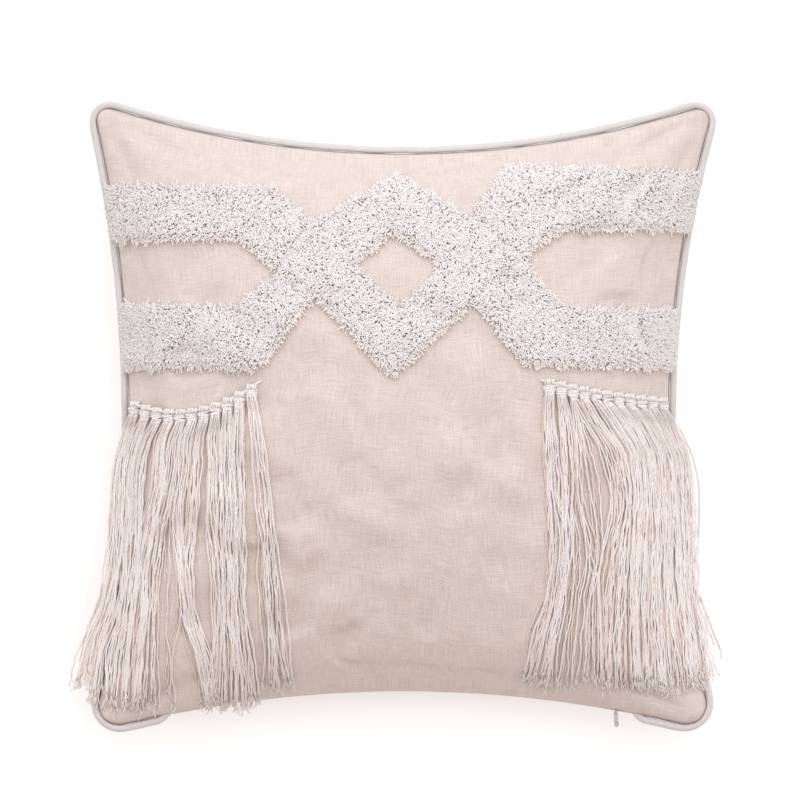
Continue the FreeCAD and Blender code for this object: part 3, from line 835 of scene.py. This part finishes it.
def surface_spots(grid, area, seed):
    """Jittered points over a grid's surface, one for each `area` of it, with their normals."""
    r = np.random.default_rng(seed)
    n = len(grid) - 1
    i, j = (k.ravel() for k in np.meshgrid(np.arange(n), np.arange(n), indexing="ij"))
    one = np.linalg.norm(np.cross(grid[i + 1, j] - grid[i, j], grid[i, j + 1] - grid[i, j]), axis=1)
    spots, normals = [], []
    per = np.ceil(np.sqrt(one / area)).astype(int)
    for k in range(1, per.max() + 1):
        mine = per == k
        for a in range(k):
            for b in range(k):
                chance = one[mine] / (k * k * area)
                keep = r.uniform(0, 1, mine.sum()) < chance
                ii, jj = i[mine][keep], j[mine][keep]
                f = ((a + 0.5 + r.uniform(-0.42, 0.42, len(ii))) / k)[:, None]
                g = ((b + 0.5 + r.uniform(-0.42, 0.42, len(ii))) / k)[:, None]
                p00, p10, p01, p11 = grid[ii, jj], grid[ii + 1, jj], grid[ii, jj + 1], grid[ii + 1, jj + 1]
                spots.append((1 - f) * (1 - g) * p00 + f * (1 - g) * p10 + (1 - f) * g * p01 + f * g * p11)
                ds = (1 - g) * (p10 - p00) + g * (p11 - p01)
                dt = (1 - f) * (p01 - p00) + f * (p11 - p10)
                normals.append(unit(np.cross(ds, dt)))
    return np.concatenate(spots), np.concatenate(normals)


def inside_plan(tree, x, y):
    down = Vector((0, 0, -1))
    return np.array([tree.ray_cast(Vector((a, b, 1)), down)[0] is not None for a, b in zip(x, y)])


def pile_piece(node, name, spots, normals, seed):
    """Cut tufts over one patch: upright and crowded inside, leaning out and thinner at its border."""
    r = np.random.default_rng(seed)
    tree = cad_tree(node)
    low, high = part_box(node)
    edge = 8 * MM
    near = ((spots[:, 0] > low.x - edge) & (spots[:, 0] < high.x + edge)
            & (spots[:, 1] > low.y - edge) & (spots[:, 1] < high.y + edge))
    at = spots[near]
    up = normals[near]
    ragged = r.normal(0, 0.45 * MM, (len(at), 2))
    ragged[:, 0] += 0.9 * MM * wobble(at[:, 1] + 0.5 * at[:, 0], 5, 8 * MM, 22 * MM, seed + 20)
    ragged[:, 1] += 1.1 * MM * wobble(at[:, 0] - 0.4 * at[:, 1], 5, 8 * MM, 22 * MM, seed + 21)
    ragged[:, 0] -= np.sign(at[:, 0]) * 4.4 * MM * (np.abs(at[:, 0]) > 150 * MM)
    keep = inside_plan(tree, at[:, 0] + ragged[:, 0], at[:, 1] + ragged[:, 1])
    at = at[keep]
    up = up[keep]
    out = np.zeros((len(at), 3))
    for a in PI2 * np.arange(8) / 8:
        way = np.array([math.cos(a), math.sin(a), 0.0])
        free = ~inside_plan(tree, at[:, 0] + way[0] * 4.5 * MM, at[:, 1] + way[1] * 4.5 * MM)
        out += free[:, None] * way
    border = np.clip(np.linalg.norm(out, axis=1) / 2.4, 0, 1)[:, None]
    count = len(at)
    stray = r.normal(0, 1, (count, 3))
    stray -= up * np.sum(stray * up, 1, keepdims=True)
    drift = np.array([0.0, -1.0, 0.0])
    lean = unit(stray) * r.uniform(0.1, 0.6, (count, 1)) + 0.1 * drift + 0.22 * border * unit(out)
    long = r.uniform(*PILE_LONG, (count, 1)) * (1 - 0.2 * border)
    steps = np.array([0.0, 0.55, 1.0])
    bend = steps ** 2.2
    rise = steps - 0.34 * steps ** 3
    line = (at[:, None] - 0.4 * MM * up[:, None] + long[:, None] * (
        up[:, None] * rise[None, :, None] + lean[:, None] * bend[None, :, None]))
    size = r.uniform(0.4 * MM, 0.58 * MM, (count, 1)) * np.array([[0.8, 1.05, 0.95]])
    # painted shade: tufts on the lower side of a band's border get a warmer hue, as a shaded lower side looks
    low_border_painted_warmth = np.clip(-unit(out)[:, 1], 0, 1) * border[:, 0]
    hue = np.clip(r.normal(0.66, 0.26, count) - 0.7 * low_border_painted_warmth, 0, 1)
    # painted shade: each tuft darkens from tip (1.0) to root (0.25), times a random tone per tuft
    shade = r.uniform(0.8, 1.0, count)
    seen = np.stack([np.clip(s * shade, 0, 1) for s in (0.25, 0.85, 1.0)], 1)
    hue_and_shade = np.stack([np.broadcast_to(hue[:, None], seen.shape), seen], -1)
    spin = unit(np.cross(up, r.normal(0, 1, (count, 3))))
    pts, faces, uv, colour = tufts(line, size, spin, hue_and_shade)
    obj = mesh_object(name, pts, faces, uv, colour)
    obj.data.materials.append(PILE)
    return obj


def tufts(line, size, across, hue_and_shade, sides=4):
    """Short yarn ends: like tubes, with a given crosswise direction and a closed tip."""
    n, m, _ = line.shape
    along = unit(np.gradient(line, axis=1))
    second = unit(np.cross(along, across[:, None]))
    first = np.cross(second, along)
    angle = PI2 * np.arange(sides) / sides
    ring = np.cos(angle)[:, None] * first[:, :, None] + np.sin(angle)[:, None] * second[:, :, None]
    points = (line[:, :, None] + size[:, :, None, None] * ring).reshape(-1, 3)
    index = np.arange(n * m * sides).reshape(n, m, sides)
    turned = np.roll(index, -1, axis=2)
    quads = np.stack([index[:, :-1], turned[:, :-1], turned[:, 1:], index[:, 1:]], -1).reshape(-1, 4)
    tip = line[:, -1] + along[:, -1] * size[:, -1:] * 0.45
    tips = n * m * sides + np.arange(n)
    apex = np.broadcast_to(tips[:, None], (n, sides))
    cone = np.stack([index[:, -1], turned[:, -1], apex], -1).reshape(-1, 3)
    colour = np.concatenate([np.repeat(hue_and_shade, sides, axis=1).reshape(-1, hue_and_shade.shape[-1]), hue_and_shade[:, -1]])
    v = np.broadcast_to(np.linspace(0, 7 * MM, m)[None, :, None], (n, m, sides)).ravel()
    u = np.broadcast_to(np.arange(sides) / sides, (n, m, sides)).ravel()
    at = np.concatenate([np.stack([u, v], 1), np.tile([0.5, 8 * MM], (n, 1))])
    uv = np.concatenate([at[quads.ravel()], at[cone.ravel()]])
    return np.concatenate([points, tip]), [quads, cone], uv, colour


SPOTS, NORMALS = surface_spots(front, PILE_AREA, 81)
for i, (node, name) in enumerate((("tuft_diamond", "pile_diamond"), ("tuft_left_upper", "pile_left_upper"),
                                  ("tuft_left_lower", "pile_left_lower"),
                                  ("tuft_right_upper", "pile_right_upper"),
                                  ("tuft_right_lower", "pile_right_lower"))):
    patch = pile_piece(node, name, SPOTS, NORMALS, 90 + i)
    place(patch, "pile", COVER_BODY, node)


# ---------------------------------------------------------------- fringes

YARN_RADIUS = 0.68 * MM
STRAND_POINTS = 64
PLIES = 3
FRAY_RADIUS = 0.36 * MM
FRAY_TIP = 0.2 * MM
WRAP_RADIUS = 0.74 * MM
LOOP_RADIUS = 0.62 * MM
CORD_PLY = 0.6 * MM
CORD_WIND = 0.55 * MM
CORD_TWIST = 4.4 * MM


def ring_centre(node):
    """Centre of a tassel's ring on the carrier cord, from its joint."""
    for joint in frame["joints"]:
        if joint["child"] == node:
            return np.array([float(c) for c in joint["pos_m"]])
    low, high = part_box(node)
    return np.array([(low.x + high.x) / 2, high.y - 4.5 * MM, high.z - 4.5 * MM])


def through(stations, values, want):
    """Smooth curve through values at the stations, with flat-limited slopes so it never overshoots."""
    stations = np.asarray(stations, float)
    values = np.asarray(values, float)
    rise = np.diff(values) / np.diff(stations)
    slope = np.zeros(len(values))
    slope[1:-1] = np.where(rise[:-1] * rise[1:] > 0, 2 * rise[:-1] * rise[1:] / np.where(
        rise[:-1] + rise[1:] == 0, 1, rise[:-1] + rise[1:]), 0)
    slope[0] = rise[0]
    slope[-1] = rise[-1]
    k = np.clip(np.searchsorted(stations, want) - 1, 0, len(stations) - 2)
    h = stations[k + 1] - stations[k]
    t = (want - stations[k]) / h
    return ((1 + 2 * t) * (1 - t) ** 2 * values[k] + t * (1 - t) ** 2 * h * slope[k]
            + t * t * (3 - 2 * t) * values[k + 1] + t * t * (t - 1) * h * slope[k + 1])


# Each lock of strands: how many, where it ends (y, mm), its middle (mm) at each share of the drop after the
# first, where it is the knot's own, and its half width (mm) at each share.
DROP = (0.0, 0.09, 0.2, 0.36, 0.54, 0.71, 0.86, 1.0)
LEFT_LOCKS = {
    1: [(20, -190, (-202, -208, -210.5, -212.5, -218.5, -228, -234.5),
         (2.8, 4.1, 4.5, 4.5, 4.2, 5, 6.4, 7.5))],
    2: [(18, -203, (-196, -201.5, -204, -206, -211, -219.5, -223),
         (2.8, 4.1, 4.5, 4.5, 4.4, 5.4, 6.6, 7.5))],
    3: [(19, -206, (-189, -193.5, -195.5, -198.5, -202, -207.5, -210),
         (2.8, 4.1, 4.5, 4.5, 4.6, 5.2, 6.4, 7.2))],
    4: [(19, -207, (-177.5, -178.6, -184.5, -191, -193.5, -197, -198.5),
         (2.8, 4.1, 4.5, 5.4, 5.2, 5.6, 6.4, 7))],
    5: [(15, -208, (-167, -169.5, -177, -182, -184, -185.5, -186.5),
         (2.8, 4.1, 4.5, 4.5, 4.6, 4.8, 5.6, 6.2)),
        (2, -207, (-165, -168, -171, -172.5, -172.5, -171.5, -169),
         (1, 1.4, 1.6, 1.2, 1, 0.8, 1.2, 1.5)),
        (2, -200, (-163, -166, -168, -163.5, -163, -170.5, -171.5),
         (1, 1.2, 1.4, 1.2, 1, 0.7, 1, 1.2))],
    6: [(16, -205, (-159, -160.5, -164.5, -161.5, -157.5, -148.5, -143.5),
         (2.8, 4.1, 4.5, 4.6, 4, 3.4, 3.8, 4))],
    7: [(17, -203, (-150, -151.5, -154, -157, -154, -145.5, -141),
         (2.8, 4.1, 4.5, 4.5, 4, 3.4, 3.8, 4))],
    8: [(19, -205, (-138, -137.5, -138.5, -135.2, -134, -134.8, -137),
         (2.8, 4.1, 4.5, 4.5, 4, 4, 5.2, 6.6))],
    9: [(19, -209, (-128.5, -128.5, -128.5, -126.7, -126.2, -124.5, -125.5),
         (2.8, 4.1, 4.5, 4.5, 4, 4.2, 5.2, 6.4))],
    10: [(18, -206, (-119.5, -120, -119, -119.5, -118, -114.5, -112.5),
         (2.8, 4.1, 4.5, 4.5, 4, 4, 5, 5.6))],
    11: [(21, -192, (-107, -104.5, -101, -97.5, -95.8, -93, -90.5),
         (2.8, 4.1, 4.5, 5.6, 6.6, 8, 9.4, 10.4))],
}
RIGHT_LOCKS = {
    1: [(19, -190, (105, 106.5, 108.5, 111, 108.5, 101.5, 95.5),
         (2.8, 4.1, 5.2, 5.4, 6, 6.4, 7.6, 8.6)),
        (1, -186, (101.5, 101.5, 102.8, 105, 101.5, 91, 92),
         (0.3, 0.3, 0.3, 0.3, 0.3, 0.3, 0.3, 0.3))],
    2: [(15, -191, (117, 118.5, 119.5, 121.5, 118.5, 113.5, 111),
         (2.8, 4.1, 4.5, 4.5, 5.4, 5.8, 6.6, 7.4)),
        (4, -189, (120.5, 125, 126, 134, 141, 141, 140.5),
         (1.6, 1.8, 2, 1.6, 2.2, 2.6, 3, 3.2))],
    3: [(7, -190, (133, 145, 152, 147.5, 143.5, 145, 146),
         (2, 3.2, 3.6, 2.6, 2.8, 3.2, 3.8, 4.2)),
        (6, -192, (124.5, 127, 128.5, 135.5, 131, 128.5, 127.5),
         (1.6, 1.8, 1.8, 2, 3.4, 3.8, 4.4, 4.8)),
        (6, -188, (128, 134, 139, 142.5, 137.5, 135.5, 136),
         (1.4, 1.8, 3.8, 4.4, 2.2, 3.2, 4.2, 4.8))],
    4: [(18, -192, (141, 156.5, 160.5, 157, 154.5, 153.5, 153.5),
         (2.8, 4.1, 4.5, 4.5, 5.4, 5.8, 6.4, 7.2))],
    5: [(19, -193, (152, 165.5, 168.5, 167, 165.5, 166, 167.5),
         (2.8, 4.2, 4.5, 4.6, 5.2, 5.6, 6.4, 7.2))],
    6: [(19, -191, (161, 172.5, 175.5, 175, 174, 175, 177),
         (2.8, 4.2, 4.5, 4.8, 5.2, 5.6, 6.4, 7.2))],
    7: [(19, -193, (169.5, 179.5, 182.5, 182.5, 182.5, 184.5, 187),
         (2.8, 4.2, 4.5, 4.8, 5.2, 5.6, 6.4, 7.2))],
    8: [(19, -190, (177.5, 186.5, 189.5, 190, 191, 194, 197),
         (2.8, 4.1, 4.5, 4.6, 5, 5.4, 6.2, 7))],
    9: [(19, -191, (185, 193.5, 196.5, 198, 199.5, 203, 206.5),
         (2.8, 4.1, 4.5, 4.5, 4.8, 5.2, 6, 6.8))],
    10: [(18, -188, (192, 200.5, 203.5, 205.5, 207, 211, 215),
         (2.8, 4.1, 4.5, 4.5, 4.2, 4.8, 5.8, 6.6))],
    11: [(15, -183, (198.5, 205.5, 208.5, 210.5, 211.5, 215.5, 219.5),
         (2.8, 4.1, 4.5, 4.5, 4, 4, 5, 6)),
        (1, -170, (203.5, 212, 216.5, 214.5, 212, 214, 217),
         (0.2, 0.2, 0.2, 0.2, 0.2, 0.2, 0.2, 0.2)),
        (2, -164, (199.5, 204.5, 205.5, 205.5, 211, 221.5, 228),
         (0.8, 0.8, 0.8, 0.8, 0.8, 1, 1.6, 2.6))],
}


def ripple(y, heights, lengths, r):
    """A sideways wave along y with its height, length and phase drawn from r."""
    height = r.uniform(*heights)
    return height * np.sin(PI2 * y / r.uniform(*lengths) + r.uniform(0, PI2))


def strand_paths(centre, locks, r):
    """Centre lines of one tassel's strands over the cover, with their layer heights."""
    lines, layers = [], []
    share = np.linspace(0, 1, STRAND_POINTS)
    for count, low_y, middles, halves in locks:
        order = np.linspace(-1, 1, count) if count > 1 else np.zeros(1)
        layer = r.permutation(np.arange(count) % 3)
        for j in range(count):
            q = order[j] + r.normal(0, 0.1, len(DROP))
            q[4:] += r.normal(0, 0.22)
            q = np.clip(q, -1.15, 1.15)
            spread_out = np.array(halves) * MM * q
            spread_out[0] = np.clip(spread_out[0], -3 * MM, 3 * MM)
            x = np.append(centre[0], np.array(middles) * MM) + spread_out
            top = centre[1] - 6.2 * MM
            end = low_y * MM + r.normal(0, 3.2 * MM)
            y = top + (end - top) * share
            px = through(DROP, x, share)
            wave = r.uniform(22 * MM, 60 * MM)
            bow = r.uniform(0.2, 0.8) * MM * np.sin(PI2 * y / wave + r.uniform(0, PI2))
            px += bow * smooth_step(share, 0.02, 0.2)
            px += ripple(y, (0.08 * MM, 0.34 * MM), (8 * MM, 16 * MM), r)
            px += ripple(y, (0.3 * MM, 1.1 * MM), (70 * MM, 150 * MM), r) * smooth_step(share, 0.05, 0.4)
            swell = np.sin(PI2 * share * r.uniform(0.6, 1.6) + r.uniform(0, PI2))
            lift = YARN_RADIUS + layer[j] * 1.05 * MM * (1 + 0.25 * swell)
            z = sample(LAY, px, y) + lift + 0.3 * MM
            start = smooth_step(share, 0.0, 0.06)
            z = z * start + (1 - start) * (centre[2] + (layer[j] - 1.2) * 1.0 * MM)
            lines.append(np.column_stack([px, y, z]))
            layers.append(layer[j])
    return np.array(lines), np.array(layers)


def frayed(lines, r):
    """The untwisted plies past the end of each strand."""
    tip = np.repeat(lines[:, -1], PLIES, axis=0)
    way = np.repeat(unit(lines[:, -1] - lines[:, -6]), PLIES, axis=0)
    count = len(tip)
    long = r.uniform(3 * MM, 9 * MM, (count, 1))
    t = np.linspace(0, 1, 8)[None, :, None]
    side = np.column_stack([
        r.normal(0, 0.2, count), r.normal(0, 0.06, count), r.normal(0.02, 0.06, count)])
    curl = np.column_stack([r.normal(0, 0.16, count), np.zeros(count), r.normal(0, 0.04, count)])
    bent = way[:, None] * t + side[:, None] * t ** 1.4 + curl[:, None] * t ** 3
    line = tip[:, None] + long[:, None] * bent
    floor = sample(LAY, line[..., 0], line[..., 1]) + 0.35 * MM
    line[..., 2] = np.maximum(line[..., 2], floor)
    line[:, 0] = tip - way * 1.5 * MM
    return line


def knot_lines(centre, r):
    """Wraps round the bundle under the cord, and the strands that go up over the cord."""
    t = np.linspace(0, 1, 25)
    wraps = []
    sizes = []
    for k in range(4):
        y = centre[1] - (2.6 + 1.25 * k + r.normal(0, 0.12)) * MM
        wide = (3.7 + 0.45 * math.sin(1.0 + k) + r.normal(0, 0.15)) * MM
        tilt = r.normal(0, 0.35) * MM
        a = PI2 * (t * 1.02) + math.pi / 2
        deep = 2.2 * MM
        wraps.append(np.column_stack([centre[0] + wide * np.cos(a), y + tilt * np.cos(a),
                                      centre[2] - 1.2 * MM + deep * np.sin(a)]))
        sizes.append(np.full(len(t), WRAP_RADIUS))
    legs = []
    for k in range(6):
        off = (-2.9 + 1.16 * k + r.normal(0, 0.12)) * MM
        a = np.linspace(-0.5, math.pi * 1.08, len(t))
        radius = (2.0 + r.normal(0, 0.05)) * MM
        legs.append(np.column_stack([np.full(len(t), centre[0] + off) + 0.2 * MM * np.sin(3 * a + k),
                                     centre[1] - radius * np.cos(a),
                                     centre[2] + radius * np.sin(a)]))
    return np.array(wraps), np.array(sizes), np.array(legs)


def tassel(node, name, locks, seed):
    r = np.random.default_rng(seed)
    centre = ring_centre(node)
    lines, layers = strand_paths(centre, locks, r)
    n = len(lines)
    hue = np.clip(r.normal(0.6, 0.28, n), 0, 1)
    # painted shade: strands in the lower layers, under the others, are darker
    painted_layer_shade = np.array([0.15, 0.65, 1.0])[layers] * r.uniform(0.8, 1.0, n)
    size = np.full((n, STRAND_POINTS), YARN_RADIUS) * r.uniform(0.86, 1.1, (n, 1))
    size[:, -3:] *= (1.0, 0.92, 0.75)
    tone = np.stack([np.broadcast_to(v[:, None], size.shape) for v in (hue, painted_layer_shade)], -1)
    parts = [tubes(lines, size, 6, hue_and_shade=tone)]
    ends = frayed(lines, r)
    fine = np.full(ends.shape[:2], FRAY_RADIUS)
    fine[:, -1] = FRAY_TIP
    end_hue = np.broadcast_to(np.repeat(hue * 0.5, PLIES)[:, None], fine.shape)
    end_tone = np.stack([end_hue, np.ones(fine.shape)], -1)
    parts.append(tubes(ends, fine, 4, hue_and_shade=end_tone))
    wraps, sizes, legs = knot_lines(centre, r)
    wrap_tone = np.full(wraps.shape[:2] + (2,), (0.7, 1.0))
    wrap_tone[..., 0] = r.uniform(0.4, 0.9, (len(wraps), 1))
    parts.append(tubes(wraps, sizes, 8, (0.0, 1.0, 0.0), wrap_tone))
    # painted shade: the legs over the cord are given G 0.85, a little darker than the wraps
    leg_tone = np.full(legs.shape[:2] + (2,), (0.7, 0.85))
    leg_tone[..., 0] = r.uniform(0.4, 0.9, (len(legs), 1))
    parts.append(tubes(legs, np.full(legs.shape[:2], LOOP_RADIUS), 6, (1.0, 0.0, 0.0), leg_tone))
    pts, faces, uv, colour = joined(parts)
    obj = mesh_object(name, pts, faces, uv, colour)
    obj.data.materials.append(YARN)
    return place(obj, "yarn", node, node)


def carrier_cord(node, name, centres, seed):
    """Two plies twisted round the line through the rings, sewn down at both ends."""
    low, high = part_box(node)
    first = np.array([low.x + 0.9 * MM, 0, 0])
    last = np.array([high.x - 0.9 * MM, 0, 0])
    fit = np.polyfit(centres[:, 0], centres[:, 1], 2)
    for end in (first, last):
        end[1] = np.polyval(fit, end[0])
        end[2] = sample(FIELD, end[0], end[1]) + 1.0 * MM
    knots = np.vstack([first, centres, last])
    x = np.linspace(knots[0, 0], knots[-1, 0], 360)
    y = np.interp(x, knots[:, 0], knots[:, 1])
    z = np.interp(x, knots[:, 0], knots[:, 2])
    for _ in range(4):
        z[1:-1] = (z[:-2] + 2 * z[1:-1] + z[2:]) / 4
        y[1:-1] = (y[:-2] + 2 * y[1:-1] + y[2:]) / 4
    length = np.concatenate([[0], np.cumsum(np.hypot(np.diff(x), np.diff(z)))])
    plies = []
    for phase in (0, math.pi):
        a = PI2 * length / CORD_TWIST + phase
        plies.append(np.column_stack([x, y + CORD_WIND * np.cos(a), z + CORD_WIND * np.sin(a)]))
    plies = np.array(plies)
    tone = np.full(plies.shape[:2] + (2,), (0.65, 1.0))
    pts, faces, uv, colour = tubes(plies, np.full(plies.shape[:2], CORD_PLY), 8, hue_and_shade=tone)
    obj = mesh_object(name, pts, faces, uv, colour)
    obj.data.materials.append(CORD)
    return place(obj, "cord", COVER_BODY, node)


for word, locks in (("left", LEFT_LOCKS), ("right", RIGHT_LOCKS)):
    middles = []
    for k in range(1, 12):
        node = f"tassel_{word}_{k:02d}"
        middles.append(ring_centre(node))
        seed = 200 + k + 50 * (word == "right")
        tassel(node, f"fringe_{word}_{k:02d}", locks[k], seed)
    carrier_cord("fringe_cord_" + word, "carrier_" + word, np.array(middles), 300)


# ---------------------------------------------------------------- stage, light, camera

def floor_material():
    m = Shade("floor_white", Roughness=0.9, Emission_Strength=0.25)
    m.shader.inputs["Emission Color"].default_value = (1, 1, 1, 1)
    at = m.node("TexCoord").outputs["Object"]
    grain = m.noise(at, 3.0, 2.0)
    return m.finish(m.mix(m.span(grain, 0.3, 0.7), (0.9, 0.9, 0.9, 1), (0.93, 0.93, 0.93, 1)))


def floor_object():
    rings = np.array([0.0, 0.5, 1.5, 4.0, 9.0])
    angle = PI2 * np.arange(48) / 48
    points = [(0.0, 0.0, -0.6 * MM)]
    for r in rings[1:]:
        points += [(r * math.cos(a), r * math.sin(a), -0.6 * MM) for a in angle]
    points = np.array(points)
    fan = np.array([(0, 1 + k, 1 + (k + 1) % 48) for k in range(48)])
    quads = np.array([(1 + 48 * j + k, 49 + 48 * j + k, 49 + 48 * j + (k + 1) % 48, 1 + 48 * j + (k + 1) % 48)
                      for j in range(3) for k in range(48)])
    obj = mesh_object("floor", points, [fan, quads])
    obj.data.materials.append(floor_material())
    return obj


def area_light(name, place_at, aim, size, power, colour):
    data = bpy.data.lights.new(name, "AREA")
    data.shape = "RECTANGLE"
    data.size, data.size_y = size
    data.energy = power
    data.color = colour
    obj = bpy.data.objects.new(name, data)
    scene.collection.objects.link(obj)
    obj.location = place_at
    obj.rotation_euler = (Vector(aim) - Vector(place_at)).to_track_quat("-Z", "Y").to_euler()
    obj.visible_camera = False
    return obj


floor_object()
area_light("key", (-0.35, 2.3, 1.7), (0, 0.0, 0.08), (1.6, 1.1), 11, (1.0, 1.0, 1.0))
area_light("top_fill", (0.4, 0.3, 2.6), (0, 0, 0.1), (2.2, 2.2), 24, (1.0, 0.99, 0.985))


# share of the way from below the bottom edge to above the top edge, and the light's colour there
WORLD_RAMP = ((0.06, (0.25, 0.14, 0.095, 1)), (0.5, (0.90, 0.90, 0.91, 1)))


def studio_world():
    """Neutral light from the top edge's side, dimmer and warmer from below; plain white where it is seen."""
    made = bpy.data.worlds.new("studio")
    made.use_nodes = True
    tree = made.node_tree
    seen = tree.nodes["Background"]
    seen.inputs[0].default_value = (1, 1, 1, 1)
    seen.inputs[1].default_value = 1.0
    lit = tree.nodes.new("ShaderNodeBackground")
    way = tree.nodes.new("ShaderNodeTexCoord")
    parts = tree.nodes.new("ShaderNodeSeparateXYZ")
    tree.links.new(way.outputs["Generated"], parts.inputs[0])
    ramp = tree.nodes.new("ShaderNodeValToRGB")
    ramp.color_ramp.interpolation = "EASE"
    for element, (position, colour) in zip(ramp.color_ramp.elements, WORLD_RAMP):
        element.position = position
        element.color = colour
    share = tree.nodes.new("ShaderNodeMapRange")
    share.inputs[1].default_value = -1
    tree.links.new(parts.outputs[1], share.inputs[0])
    tree.links.new(share.outputs[0], ramp.inputs[0])
    tree.links.new(ramp.outputs[0], lit.inputs[0])
    lit.inputs[1].default_value = 1.0
    path = tree.nodes.new("ShaderNodeLightPath")
    mix = tree.nodes.new("ShaderNodeMixShader")
    tree.links.new(path.outputs["Is Camera Ray"], mix.inputs[0])
    tree.links.new(lit.outputs[0], mix.inputs[1])
    tree.links.new(seen.outputs[0], mix.inputs[2])
    tree.links.new(mix.outputs[0], tree.nodes["World Output"].inputs[0])
    return made


scene.world = studio_world()
scene.view_settings.view_transform = "Standard"

CAMERA_UP = 5.0
VIEW_WIDE = 586.5 * MM
camera_data = bpy.data.cameras.new("camera")
camera = bpy.data.objects.new("camera", camera_data)
scene.collection.objects.link(camera)
camera.location = (-2.6 * MM, 12.5 * MM, SEAM + CAMERA_UP)
camera_data.sensor_width = 36
camera_data.lens = 36 * CAMERA_UP / VIEW_WIDE
camera_data.clip_end = 50
scene.camera = camera
